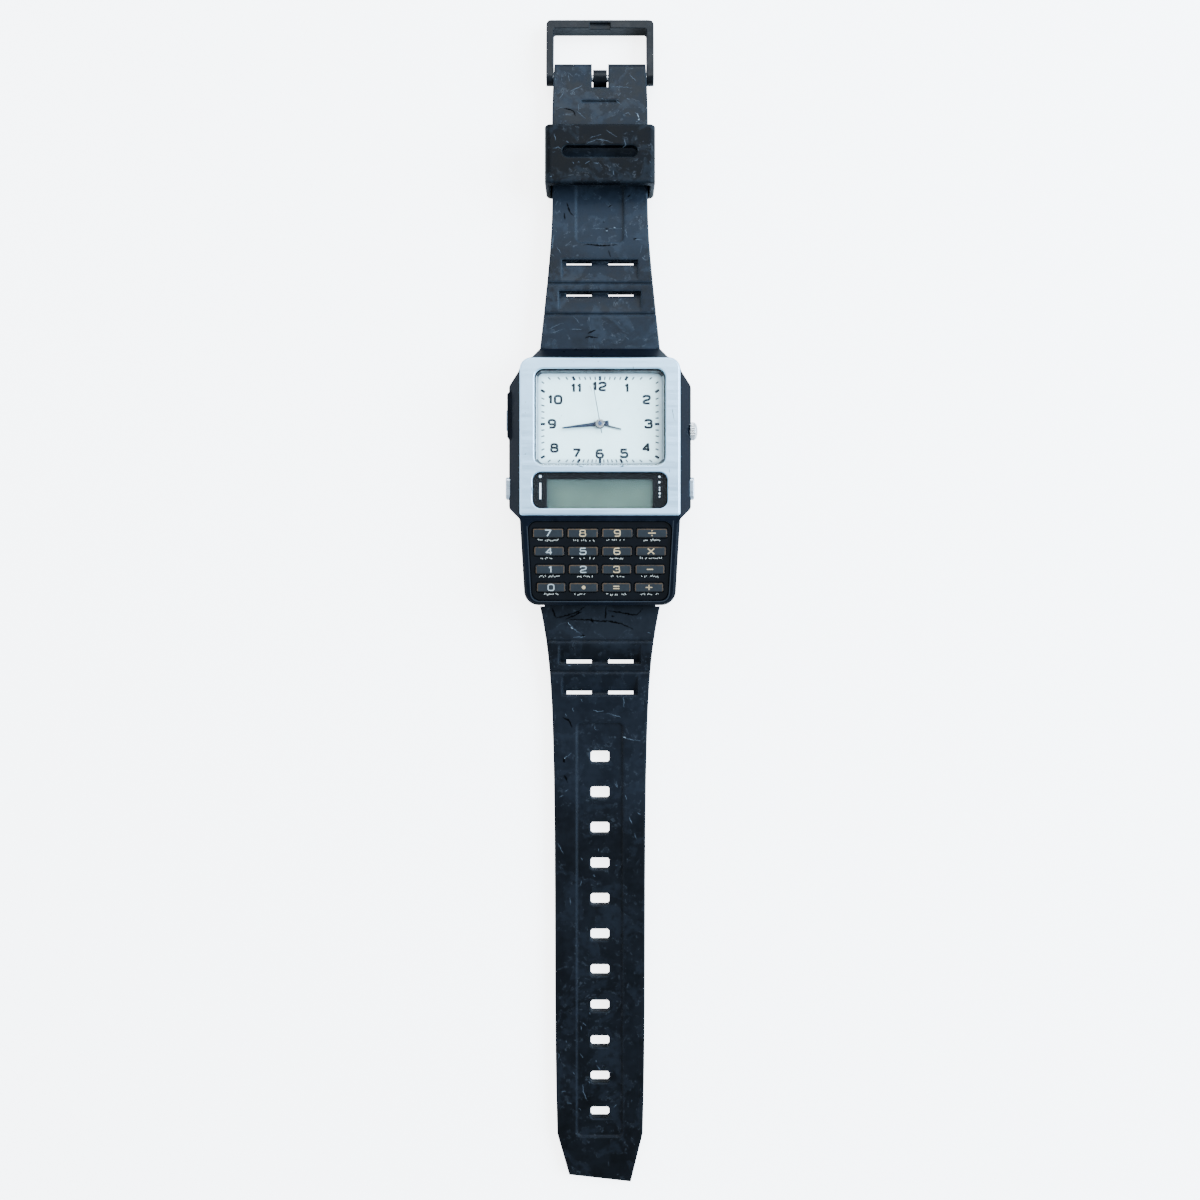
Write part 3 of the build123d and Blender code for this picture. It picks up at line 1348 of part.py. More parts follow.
# Keeper
with BuildPart() as strap_keeper:
    with BuildSketch(Plane.XZ.offset(-keeper_y - keeper_length / 2)):
        with Locations((0, keeper_height / 2)):
            RectangleRounded(keeper_width, keeper_height, keeper_corner)
        with Locations((0, (keeper_floor + keeper_height - keeper_top) / 2)):
            RectangleRounded(keeper_width - 2 * keeper_side, keeper_height - keeper_top - keeper_floor,
                             keeper_inner_corner, mode=Mode.SUBTRACT)
    extrude(amount=keeper_length)
    with BuildSketch(Plane.XY.offset(keeper_height - keeper_top - cut_overrun)):
        with Locations((0, keeper_y + keeper_slot_offset)):
            SlotOverall(keeper_slot_length, keeper_slot_width)
    extrude(amount=keeper_top + 2 * cut_overrun, mode=Mode.SUBTRACT)
    keeper_ends = strap_keeper.faces().filter_by(Axis.Y).group_by(Axis.Y)
    chamfer([face.outer_wire().edges() for face in keeper_ends[0] + keeper_ends[-1]], keeper_edge)
save(strap_keeper, "strap_keeper")
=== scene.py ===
"""Calculator watch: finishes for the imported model, its printing and the small forms that carry its look.

Sizes are in millimetres, as in the model, and become metres where a mesh is filled.
X runs toward the crown, Y toward the buckle half of the strap, and Z up through the dial.
"""

from __future__ import annotations

import json
import logging
from dataclasses import dataclass, field
from enum import Enum
from functools import cache
from typing import Any, Sequence

import bpy
import numpy as np
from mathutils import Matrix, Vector

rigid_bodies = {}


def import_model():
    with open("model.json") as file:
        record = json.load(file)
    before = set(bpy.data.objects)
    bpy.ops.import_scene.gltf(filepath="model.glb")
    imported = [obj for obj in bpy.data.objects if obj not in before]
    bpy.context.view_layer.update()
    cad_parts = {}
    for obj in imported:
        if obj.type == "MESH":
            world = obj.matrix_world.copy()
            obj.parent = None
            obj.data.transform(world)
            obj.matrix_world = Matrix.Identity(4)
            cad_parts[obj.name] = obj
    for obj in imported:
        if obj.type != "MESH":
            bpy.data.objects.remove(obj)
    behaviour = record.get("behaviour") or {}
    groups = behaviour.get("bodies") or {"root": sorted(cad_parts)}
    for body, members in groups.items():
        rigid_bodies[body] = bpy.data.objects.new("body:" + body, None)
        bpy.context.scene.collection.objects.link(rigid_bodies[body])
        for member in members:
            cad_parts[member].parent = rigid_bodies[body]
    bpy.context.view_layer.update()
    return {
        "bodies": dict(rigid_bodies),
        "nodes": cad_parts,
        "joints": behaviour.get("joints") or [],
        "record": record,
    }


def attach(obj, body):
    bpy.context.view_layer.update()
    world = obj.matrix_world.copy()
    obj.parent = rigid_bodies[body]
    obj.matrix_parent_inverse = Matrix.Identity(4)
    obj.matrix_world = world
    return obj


log = logging.getLogger("watch")
MM = 0.001
Array = np.ndarray
Colour = tuple[float, float, float]
Socket = bpy.types.NodeSocket
Lines = tuple[tuple[float, ...], ...]
Pair = tuple[float, float]
Place = tuple[float, float, float]
Shell = tuple[Array, list[list[int]]]
TINY = 1e-9
NEARLY_HALF = 0.49
PRINT_HEIGHT = 0.015


# Meshes


@dataclass(frozen=True)
class Level:
    """A flat place to lay print on: an origin, and a tilt in degrees about X."""

    origin: Place = (0.0, 0.0, 0.0)
    tilt: float = 0.0

    def place(self, flat: Array, heights: Array) -> Array:
        """Carry flat points to the model.

        At the tilt t a point (u, v) at the height h goes to
        origin + (u, v cos t - h sin t, v sin t + h cos t).

        Args:
            flat: Points (..., 2) on the level.
            heights: Heights (...) above it.

        Returns:
            Points (..., 3) in millimetres.
        """
        turn = np.radians(self.tilt)
        along = np.stack([flat[..., 0], flat[..., 1] * np.cos(turn), flat[..., 1] * np.sin(turn)], axis=-1)
        lift = np.stack([np.zeros_like(heights), -heights * np.sin(turn), heights * np.cos(turn)], axis=-1)
        return np.asarray(self.origin) + along + lift


@dataclass(frozen=True)
class Slope(Level):
    """The top of a strap half: a chain of places along Y with their heights."""

    chain: tuple[Pair, ...] = ()

    def place(self, flat: Array, heights: Array) -> Array:
        """Carry flat points to the model: (u, v, h + height of the chain at |v|).

        Args:
            flat: Points (..., 2) seen from above.
            heights: Heights (...) over the strap's top.

        Returns:
            Points (..., 3) in millimetres.
        """
        reach, rise = np.array(self.chain).T
        level = np.interp(np.abs(flat[..., 1]), reach, rise)
        return np.concatenate([flat, (level + heights)[..., None]], axis=-1)


def fill_mesh(name: str, points: Array, faces: list[list[int]], smooth: bool = False) -> bpy.types.Object:
    """Make a mesh object at the origin from points in millimetres.

    Args:
        name: Name of the piece.
        points: Points (n, 3) in millimetres.
        faces: Corner numbers of each face.
        smooth: Whether the faces are shaded smooth.

    Returns:
        The new object, linked to the scene.
    """
    mesh = bpy.data.meshes.new(name)
    mesh.from_pydata((points * MM).tolist(), [], faces)
    mesh.validate()
    mesh.polygons.foreach_set("use_smooth", np.full(len(mesh.polygons), smooth))
    piece = bpy.data.objects.new(name, mesh)
    bpy.context.scene.collection.objects.link(piece)
    return piece


def prisms(outlines: Array, low: float, high: float, level: Level) -> Shell:
    """Upright prisms over flat outlines: every outline stands once at each height, joined by quads.

    Args:
        outlines: Points (n, k, 2), each outline counter-clockwise.
        low: Height of the lower caps over the level.
        high: Height of the upper caps.
        level: The level that they stand on.

    Returns:
        Points (n * 2 * k, 3) and the faces.
    """
    count, corners = outlines.shape[:2]
    flat = np.repeat(outlines[:, None], 2, axis=1)
    heights = np.broadcast_to(np.array([low, high])[None, :, None], flat.shape[:3])
    points = level.place(flat, heights).reshape(-1, 3)
    base = (np.arange(count) * 2 * corners)[:, None]
    ring = np.arange(corners)[None]
    turned = (ring + 1) % corners
    sides = np.stack([base + ring, base + turned, base + corners + turned, base + corners + ring], axis=-1)
    floors = base + ring[:, ::-1]
    roofs = base + corners + ring
    return points, sides.reshape(-1, 4).tolist() + floors.tolist() + roofs.tolist()


def bars(centres: Array, angles: Array, lengths: Array | float, widths: Array | float) -> Array:
    """Outlines of bars: centre + s * length * (cos a, sin a) + t * width * (-sin a, cos a).

    Each of s and t is -1/2 or 1/2.

    Args:
        centres: Points (n, 2).
        angles: Directions (n) in radians.
        lengths: Lengths (n) or one length.
        widths: Widths (n) or one width.

    Returns:
        Outlines (n, 4, 2), counter-clockwise.
    """
    angles = np.asarray(angles, dtype=float)
    along = np.stack([np.cos(angles), np.sin(angles)], axis=-1)[:, None]
    across = np.stack([-np.sin(angles), np.cos(angles)], axis=-1)[:, None]
    ends = np.array([-1, 1, 1, -1])[None, :, None] / 2
    sides = np.array([-1, -1, 1, 1])[None, :, None] / 2
    long = np.broadcast_to(lengths, angles.shape)[:, None, None]
    wide = np.broadcast_to(widths, angles.shape)[:, None, None]
    return centres[:, None] + ends * long * along + sides * wide * across


def rounds(centres: Array, radii: Array | float, corners: int = 20) -> Array:
    """Outlines of discs: centre + radius * (cos a, sin a) at evenly spaced angles a.

    Args:
        centres: Points (n, 2).
        radii: Radii (n) or one radius.
        corners: Corners of each disc.

    Returns:
        Outlines (n, corners, 2), counter-clockwise.
    """
    turn = np.linspace(0, 2 * np.pi, corners, endpoint=False)
    circle = np.stack([np.cos(turn), np.sin(turn)], axis=-1)
    return centres[:, None] + np.broadcast_to(radii, len(centres))[:, None, None] * circle


def bent(corners: Array, radius: float, closed: bool = False, steps: int = 6) -> Array:
    """A line whose corners are rounded.

    At a corner P the line leaves its runs at A and B, the radius away or nearly half a run if that is less,
    and follows (1 - t)^2 A + 2 t (1 - t) P + t^2 B for t from 0 to 1.

    Args:
        corners: Points (n, 2).
        radius: Distance from a corner to where its curve starts.
        closed: Whether the last point joins the first.
        steps: Points of each curve.

    Returns:
        Points (m, 2) along the line.
    """
    sides = []
    for shift in (1, -1):
        run = np.roll(corners, shift, axis=0) - corners
        reach = np.maximum(np.linalg.norm(run, axis=1, keepdims=True), TINY)
        sides.append((corners + run / reach * np.minimum(radius, reach * NEARLY_HALF))[:, None])
    share = np.linspace(0.0, 1.0, steps)[None, :, None]
    curves = (1 - share) ** 2 * sides[0] + 2 * share * (1 - share) * corners[:, None] + share ** 2 * sides[1]
    if closed:
        return curves.reshape(-1, 2)
    return np.concatenate([corners[:1], curves[1:-1].reshape(-1, 2), corners[-1:]])


def traced(line: Array, width: Array | float, low: float, high: float, level: Level,
           closed: bool = False) -> Shell:
    """A flat bar carried along a line: line + s * width / 2 * (-t_y, t_x), s of -1 or 1, t the unit tangent.

    Args:
        line: Points (n, 2) on the level.
        width: Width of the bar, or its width (n) at each point.
        low: Height of its underside over the level.
        high: Height of its top.
        level: The level that it lies on.
        closed: Whether the last point joins the first.

    Returns:
        Points (n * 4, 3) and faces of a closed shell.
    """
    count = len(line)
    heading = np.roll(line, -1, axis=0) - np.roll(line, 1, axis=0) if closed else np.gradient(line, axis=0)
    heading = heading / np.maximum(np.linalg.norm(heading, axis=1, keepdims=True), TINY)
    across = np.stack([-heading[:, 1], heading[:, 0]], axis=-1) * np.broadcast_to(width, count)[:, None] / 2
    flat = line[:, None] + np.array([1, -1, -1, 1])[None, :, None] * across[:, None]
    heights = np.broadcast_to(np.array([low, low, high, high]), (count, 4))
    here, side = np.arange(count if closed else count - 1)[:, None] * 4, np.arange(4)[None]
    there, turned = (here + 4) % (4 * count), (side + 1) % 4
    faces = np.stack([here + side, there + side, there + turned, here + turned], axis=-1)
    faces = faces.reshape(-1, 4).tolist()
    if not closed:
        faces += [[0, 1, 2, 3], list(range(4 * count - 1, 4 * count - 5, -1))]
    return level.place(flat, heights).reshape(-1, 3), faces


def gather(parts: Sequence[Shell]) -> Shell:
    """Join several sets of points and faces into one, with each set's corner numbers moved up."""
    faces, start = [], 0
    for points, own in parts:
        faces += [[corner + start for corner in face] for face in own]
        start += len(points)
    return np.concatenate([points for points, _ in parts]), faces


@dataclass(frozen=True)
class Scrawl:
    """A way of drawing wear: the greatest width of a stroke, the greatest shift of a point, and a seed."""

    width: float
    waver: float
    seed: int
    low: float = -0.05
    high: float = 0.014
    step: float = 0.25

    def draw(self, lines: Lines, level: Level) -> Shell:
        """Wavering strokes through given places, thin at both ends.

        Each stroke is sampled at even shares s of its length and shifted by seeded noise of the given waver.
        Its width is width * (0.3 + 0.7 sin(pi s)) times a seeded factor.

        Args:
            lines: Flat lists x0, y0, x1, y1 and so on, in millimetres.
            level: What the strokes lie on.

        Returns:
            Points and faces of all the strokes.
        """
        chance = np.random.default_rng(self.seed)
        parts = []
        for line in lines:
            points = np.array(line).reshape(-1, 2)
            run = np.concatenate([[0.0], np.cumsum(np.linalg.norm(np.diff(points, axis=0), axis=1))])
            count = int(np.clip(run[-1] / self.step, 5, 60))
            shares = np.linspace(0.0, 1.0, count)
            path = np.stack([np.interp(shares * run[-1], run, points[:, axis]) for axis in (0, 1)], axis=-1)
            path += chance.uniform(-self.waver, self.waver, path.shape)
            widths = self.width * (0.3 + 0.7 * np.sin(np.pi * shares)) * chance.uniform(0.35, 1.0, count)
            parts.append(traced(path, widths, self.low, self.high, level))
        return gather(parts)


@dataclass(frozen=True)
class Stroke:
    """One line of a figure, in halves of the figure's width and height from its middle."""

    points: tuple[float, ...]
    rounding: float = 0.3
    closed: bool = False


SIGNS: dict[str, tuple[Stroke, ...]] = {
    "0": (Stroke((-1, -1, 1, -1, 1, 1, -1, 1), 0.34, True),),
    "1": (Stroke((-1, 0.5, 1, 1, 1, -1), 0.02),),
    "2": (Stroke((-0.95, 0.5, -0.95, 1, 0.95, 1, 0.95, 0.05, -0.95, -0.3, -0.95, -1, 1, -1)),),
    "3": (Stroke((-0.95, 0.55, -0.95, 1, 0.9, 1, 0.9, 0.04, -0.3, 0.04)),
          Stroke((0.2, 0.04, 1, 0.04, 1, -1, -1, -1, -1, -0.5))),
    "4": (Stroke((0.5, -1, 0.5, 1, -1, -0.42, 1, -0.42), 0.03),),
    "5": (Stroke((0.9, 1, -0.85, 1, -0.92, 0.12), 0.03),
          Stroke((-0.92, 0.12, 1, 0.2, 1, -1, -1, -1, -1, -0.5))),
    "6": (Stroke((0.85, 1, -0.95, 1, -1, -1, 1, -1, 1, 0.14, -0.98, 0.14), 0.34),),
    "7": (Stroke((-1, 1, 1, 1, -0.3, -1), 0.06),),
    "8": (Stroke((-1, -1, 1, -1, 1, 0.04, -1, 0.04), 0.3, True),
          Stroke((-0.88, 0.04, 0.88, 0.04, 0.88, 1, -0.88, 1), 0.3, True)),
    "9": (Stroke((-0.85, -1, 0.95, -1, 1, 1, -1, 1, -1, -0.14, 0.98, -0.14), 0.34),),
    "+": (Stroke((-1.15, 0, 1.15, 0)), Stroke((0, -0.85, 0, 0.85))),
    "-": (Stroke((-1.1, 0, 1.1, 0)),),
    "=": (Stroke((-1.05, 0.38, 1.05, 0.38)), Stroke((-1.05, -0.38, 1.05, -0.38))),
    "×": (Stroke((-1.1, -0.9, 1.1, 0.9)), Stroke((-1.1, 0.9, 1.1, -0.9))),
    "÷": (Stroke((-1.3, 0, 1.3, 0)), Stroke((0, 0.62, 0, 0.98)), Stroke((0, -0.98, 0, -0.62))),
}


@dataclass(frozen=True)
class Hand:
    """A way of drawing figures: half sizes of their centre lines, the width of a line and the gap between."""

    half_width: float
    half_height: float
    line: float
    gap: float = 0.32
    height: float = PRINT_HEIGHT
    narrow: float = 0.3
    dot: float = 0.62

    def write(self, text: str, centre: Pair, base: float, level: Level) -> Shell:
        """Figures side by side about a middle, each line of them a flat bar.

        Args:
            text: Figures or signs.
            centre: Middle of the text on the level.
            base: Height of the underside over the level.
            level: The level that they lie on.

        Returns:
            Points and faces of one closed shell for each line.
        """
        halves = np.array([self.half_width * (self.narrow if sign == "1" else 1.0) for sign in text])
        outer = 2 * halves + self.line
        starts = np.concatenate([[0.0], np.cumsum(outer + self.gap)[:-1]])
        middles = starts + outer / 2 - (starts[-1] + outer[-1]) / 2
        top, parts = base + self.height, []
        for sign, half, middle in zip(text, halves, middles):
            place, size = (centre[0] + middle, centre[1]), np.array([half, self.half_height])
            if sign == ".":
                parts.append(prisms(rounds(np.array([place]), self.half_height * self.dot), base, top, level))
            for stroke in SIGNS.get(sign, ()):
                corners = np.array(stroke.points, dtype=float).reshape(-1, 2) * size + place
                line = bent(corners, stroke.rounding * 2 * self.half_height, stroke.closed)
                parts.append(traced(line, self.line, base, top, level, stroke.closed))
        return gather(parts)


# Node trees


class Graph:
    """A node tree with short calls that add nodes and return their outputs."""

    def __init__(self, tree: bpy.types.NodeTree) -> None:
        """Take the tree that the calls add to."""
        self.tree = tree

    def add(self, kind: str, **settings: Any) -> bpy.types.Node:
        """Add a shader node and set its properties."""
        node = self.tree.nodes.new("ShaderNode" + kind)
        for key, value in settings.items():
            setattr(node, key, value)
        return node

    def feed(self, socket: Socket, source: Any) -> None:
        """Link a socket to another, or set its value where the source is a plain number or colour."""
        if isinstance(source, bpy.types.NodeSocket):
            self.tree.links.new(source, socket)
        elif source is not None:
            socket.default_value = (*source, 1.0) if socket.type == "RGBA" and len(source) == 3 else source

    def math(self, operation: str, first: Any, second: Any = None) -> Socket:
        """The result of a Math node."""
        node = self.add("Math", operation=operation)
        self.feed(node.inputs[0], first)
        self.feed(node.inputs[1], second)
        return node.outputs[0]

    def times(self, first: Any, second: Any) -> Socket:
        """The product of two values."""
        return self.math("MULTIPLY", first, second)

    def plus(self, first: Any, second: Any) -> Socket:
        """The sum of two values."""
        return self.math("ADD", first, second)

    def minus(self, first: Any, second: Any) -> Socket:
        """The first value less the second."""
        return self.math("SUBTRACT", first, second)

    def vector(self, operation: str, first: Any, second: Any = None) -> Socket:
        """The result of a Vector Math node."""
        node = self.add("VectorMath", operation=operation)
        self.feed(node.inputs[0], first)
        self.feed(node.inputs[1], second)
        return node.outputs["Value" if operation in ("DOT_PRODUCT", "LENGTH") else "Vector"]

    def span(self, value: Any, low: Any, high: Any, start: Any = 0.0, end: Any = 1.0) -> Socket:
        """A value carried from one range to another, smoothly and clamped."""
        node = self.add("MapRange", interpolation_type="SMOOTHSTEP")
        for socket, source in zip(node.inputs, (value, low, high, start, end)):
            self.feed(socket, source)
        return node.outputs[0]

    def mix(self, share: Any, first: Any, second: Any) -> Socket:
        """Two colours mixed."""
        node = self.add("Mix", data_type="RGBA")
        self.feed(node.inputs["Factor"], share)
        self.feed(node.inputs["A"] if node.inputs["A"].enabled else node.inputs[6], first)
        self.feed(node.inputs["B"] if node.inputs["B"].enabled else node.inputs[7], second)
        return next(socket for socket in node.outputs if socket.enabled)

    def wash(self, colour: Any, mask: Any, share: Any, tone: Any) -> Socket:
        """A colour with a tone over it where the mask is 1, at most by the share."""
        return self.mix(self.times(mask, share), colour, tone)

    def blend(self, share: Socket, first: Socket, second: Socket) -> None:
        """Mix two shaders into the material's output, the second where the share is 1."""
        node = self.add("MixShader")
        for socket, source in zip(node.inputs, (share, first, second)):
            self.feed(socket, source)
        self.feed(self.tree.nodes["Material Output"].inputs[0], node.outputs[0])

    def noise(self, vector: Any, scale: Any, detail: float = 3.0, rough: float = 0.5,
              warp: float = 0.0) -> Socket:
        """A noise value."""
        node = self.add("TexNoise")
        values = {"Vector": vector, "Scale": scale, "Detail": detail, "Roughness": rough, "Distortion": warp}
        for key, value in values.items():
            self.feed(node.inputs[key], value)
        return node.outputs[0]

    def place(self) -> Socket:
        """Object coordinates."""
        return self.add("TexCoord").outputs["Object"]

    def axes(self) -> bpy.types.bpy_prop_collection:
        """Object coordinates taken apart into X, Y and Z."""
        node = self.add("SeparateXYZ")
        self.feed(node.inputs[0], self.place())
        return node.outputs


class EffectGroup:
    """A shader node group with named inputs and outputs, built once."""

    def __init__(self, name: str, inputs: dict[str, Any], outputs: dict[str, str]) -> None:
        """Make the group's tree and its sockets.

        Args:
            name: Name of the group.
            inputs: Default of each input. None stands for a vector.
            outputs: Socket kind of each output, Float or Vector.
        """
        self.tree = bpy.data.node_groups.new(name, "ShaderNodeTree")
        for key, value in inputs.items():
            kind = "NodeSocketVector" if value is None else "NodeSocketFloat"
            socket = self.tree.interface.new_socket(key, in_out="INPUT", socket_type=kind)
            if value is not None:
                socket.default_value = value
        for key, kind in outputs.items():
            self.tree.interface.new_socket(key, in_out="OUTPUT", socket_type="NodeSocket" + kind)
        self.graph = Graph(self.tree)
        self.given = self.tree.nodes.new("NodeGroupInput").outputs
        self.out = self.tree.nodes.new("NodeGroupOutput").inputs

    def put(self, name: str, source: Socket) -> None:
        """Send a value to one of the group's outputs."""
        self.graph.feed(self.out[name], source)


@cache
def edge_wear_group() -> bpy.types.NodeTree:
    """Edges where a rounded normal leaves the flat one. Mask is 1 on a rubbed patch, Edge all along."""
    group = EffectGroup("edge wear", {"Width": 0.0003, "Patches": 400.0, "Reach": 0.5},
                        {"Mask": "Float", "Edge": "Float", "Normal": "Vector"})
    graph, given = group.graph, group.given
    rounded = graph.add("Bevel", samples=6)
    graph.feed(rounded.inputs["Radius"], given["Width"])
    flat = graph.add("NewGeometry").outputs["Normal"]
    turn = graph.minus(1.0, graph.vector("DOT_PRODUCT", rounded.outputs[0], flat))
    patches = graph.noise(graph.place(), given["Patches"], 4.0, 0.65)
    low = graph.minus(0.62, graph.times(given["Reach"], 0.4))
    group.put("Mask", graph.times(graph.span(turn, 0.02, 0.22), graph.span(patches, low, 0.72)))
    group.put("Edge", graph.span(turn, 0.01, 0.25))
    group.put("Normal", rounded.outputs[0])
    return group.tree


@cache
def scratches_group() -> bpy.types.NodeTree:
    """Hair scratches: thin level lines of noise stretched four ways, broken up by a broad noise."""
    group = EffectGroup("scratches", {"Scale": 150.0, "Fineness": 0.012, "Amount": 0.5}, {"Mask": "Float"})
    graph, given = group.graph, group.given
    place = graph.place()
    total: Any = 0.0
    for index, turn in enumerate((0.35, 1.25, 2.1, 2.75)):
        spin = graph.add("VectorRotate", rotation_type="Z_AXIS")
        graph.feed(spin.inputs["Vector"], place)
        spin.inputs["Angle"].default_value = turn
        lines = graph.noise(graph.vector("MULTIPLY", spin.outputs[0], (1.0, 14.0 + 5 * index, 1.0)),
                            given["Scale"], 2.0, 0.4)
        thin = graph.span(graph.math("ABSOLUTE", graph.minus(lines, 0.5)), 0.0, given["Fineness"], 1.0, 0.0)
        shift = graph.vector("ADD", spin.outputs[0], (0.31 * index, 0.17, 0.0))
        broken = graph.noise(shift, graph.times(given["Scale"], 2.4), 2.0, 0.6)
        low = graph.minus(0.78, graph.times(given["Amount"], 0.3))
        seen = graph.span(broken, low, graph.plus(low, 0.06))
        total = graph.math("MAXIMUM", total, graph.times(thin, seen))
    group.put("Mask", total)
    return group.tree


@cache
def mottle_group() -> bpy.types.NodeTree:
    """Uneven tone: a broad and a middle noise added. Tone runs from 0 to 1 about a half."""
    group = EffectGroup("mottle", {"Scale": 120.0}, {"Tone": "Float"})
    graph, given = group.graph, group.given
    broad = graph.noise(graph.place(), given["Scale"], 5.0, 0.6, 0.4)
    middle = graph.noise(graph.place(), graph.times(given["Scale"], 6.0), 3.0, 0.55)
    both = graph.plus(graph.times(broad, 0.65), graph.times(middle, 0.35))
    group.put("Tone", graph.span(both, 0.36, 0.64))
    return group.tree


@cache
def grain_group() -> bpy.types.NodeTree:
    """Moulded grain: small rounded cells under fine noise, as a height."""
    group = EffectGroup("grain", {"Scale": 4000.0}, {"Height": "Float"})
    graph, given = group.graph, group.given
    cells = graph.add("TexVoronoi", feature="SMOOTH_F1")
    graph.feed(cells.inputs["Vector"], graph.place())
    graph.feed(cells.inputs["Scale"], given["Scale"])
    fine = graph.noise(graph.place(), graph.times(given["Scale"], 1.7), 3.0, 0.6)
    group.put("Height", graph.plus(graph.times(cells.outputs["Distance"], 0.6), graph.times(fine, 0.5)))
    return group.tree


@cache
def brushed_group() -> bpy.types.NodeTree:
    """Brushed lines along X: noise whose place is squeezed along X, so each grain is a long streak."""
    group = EffectGroup("brushed", {"Scale": 9000.0}, {"Height": "Float", "Tone": "Float"})
    graph, given = group.graph, group.given
    drawn_out = graph.vector("MULTIPLY", graph.place(), (0.012, 1.0, 1.0))
    streaks = graph.noise(drawn_out, given["Scale"], 4.0, 0.7)
    squeezed = graph.vector("MULTIPLY", graph.place(), (0.05, 1.0, 1.0))
    wide = graph.noise(squeezed, graph.times(given["Scale"], 0.12), 3.0, 0.6)
    group.put("Height", streaks)
    group.put("Tone", graph.span(graph.plus(graph.times(streaks, 0.5), graph.times(wide, 0.5)), 0.35, 0.65))
    return group.tree


@cache
def dust_group() -> bpy.types.NodeTree:
    """Dust and dried dirt in corners: closed-in places, in patches."""
    group = EffectGroup("dust", {"Reach": 0.0008, "Patches": 900.0}, {"Mask": "Float"})
    graph, given = group.graph, group.given
    shade = graph.add("AmbientOcclusion", samples=6, only_local=True)
    graph.feed(shade.inputs["Distance"], given["Reach"])
    closed = graph.span(shade.outputs["AO"], 0.85, 0.35)
    patches = graph.noise(graph.place(), given["Patches"], 4.0, 0.7)
    group.put("Mask", graph.times(closed, graph.span(patches, 0.42, 0.62)))
    return group.tree


@cache
def band_group() -> bpy.types.NodeTree:
    """A stretch along Y: 1 between two places, smoothly 0 beyond them, and a little uneven."""
    group = EffectGroup("band", {"Start": 0.0, "End": 0.01, "Soft": 0.004}, {"Mask": "Float"})
    graph, given = group.graph, group.given
    drift = graph.times(graph.minus(graph.noise(graph.place(), 110.0, 3.0), 0.5), 0.008)
    along = graph.plus(graph.axes()["Y"], drift)
    soft, slopes = given["Soft"], []
    for end, first, last in ((given["Start"], 0.0, 1.0), (given["End"], 1.0, 0.0)):
        slopes.append(graph.span(along, graph.minus(end, soft), graph.plus(end, soft), first, last))
    group.put("Mask", graph.times(*slopes))
    return group.tree


@cache
def stains_group() -> bpy.types.NodeTree:
    """Dried stains: patches of a warped noise over a level, and the thin line where it crosses the level."""
    group = EffectGroup("stains", {"Scale": 170.0, "Level": 0.52, "Line": 0.012},
                        {"Patch": "Float", "Line": "Float"})
    graph, given = group.graph, group.given
    over = graph.minus(graph.noise(graph.place(), given["Scale"], 6.0, 0.62, 0.9), given["Level"])
    fine = graph.noise(graph.place(), graph.times(given["Scale"], 5.0), 3.0, 0.6)
    group.put("Patch", graph.times(graph.span(over, 0.0, 0.05), graph.span(fine, 0.25, 0.6)))
    line = graph.span(graph.math("ABSOLUTE", over), 0.0, given["Line"], 1.0, 0.0)
    group.put("Line", graph.times(line, graph.span(fine, 0.48, 0.6)))
    return group.tree


@cache
def rim_shade_group() -> bpy.types.NodeTree:
    """The rim of a rectangle, for painted shade: 1 on its four edges, smoothly 0 at the reach inside them."""
    group = EffectGroup("rim", {"Left": -0.01, "Right": 0.01, "Low": -0.01, "High": 0.01, "Reach": 0.001},
                        {"Mask": "Float"})
    graph, given = group.graph, group.given
    axes = graph.axes()
    nearest = graph.minus(axes["X"], given["Left"])
    for far, near in ((given["Right"], axes["X"]), (axes["Y"], given["Low"]), (given["High"], axes["Y"])):
        nearest = graph.math("MINIMUM", nearest, graph.minus(far, near))
    group.put("Mask", graph.span(nearest, 0.0, given["Reach"], 1.0, 0.0))
    return group.tree


# Finishes


@dataclass(frozen=True)
class Band:
    """A stretch of a surface along Y, in metres, with a tone of its own."""

    start: float
    end: float
    soft: float
    share: float
    colour: Colour


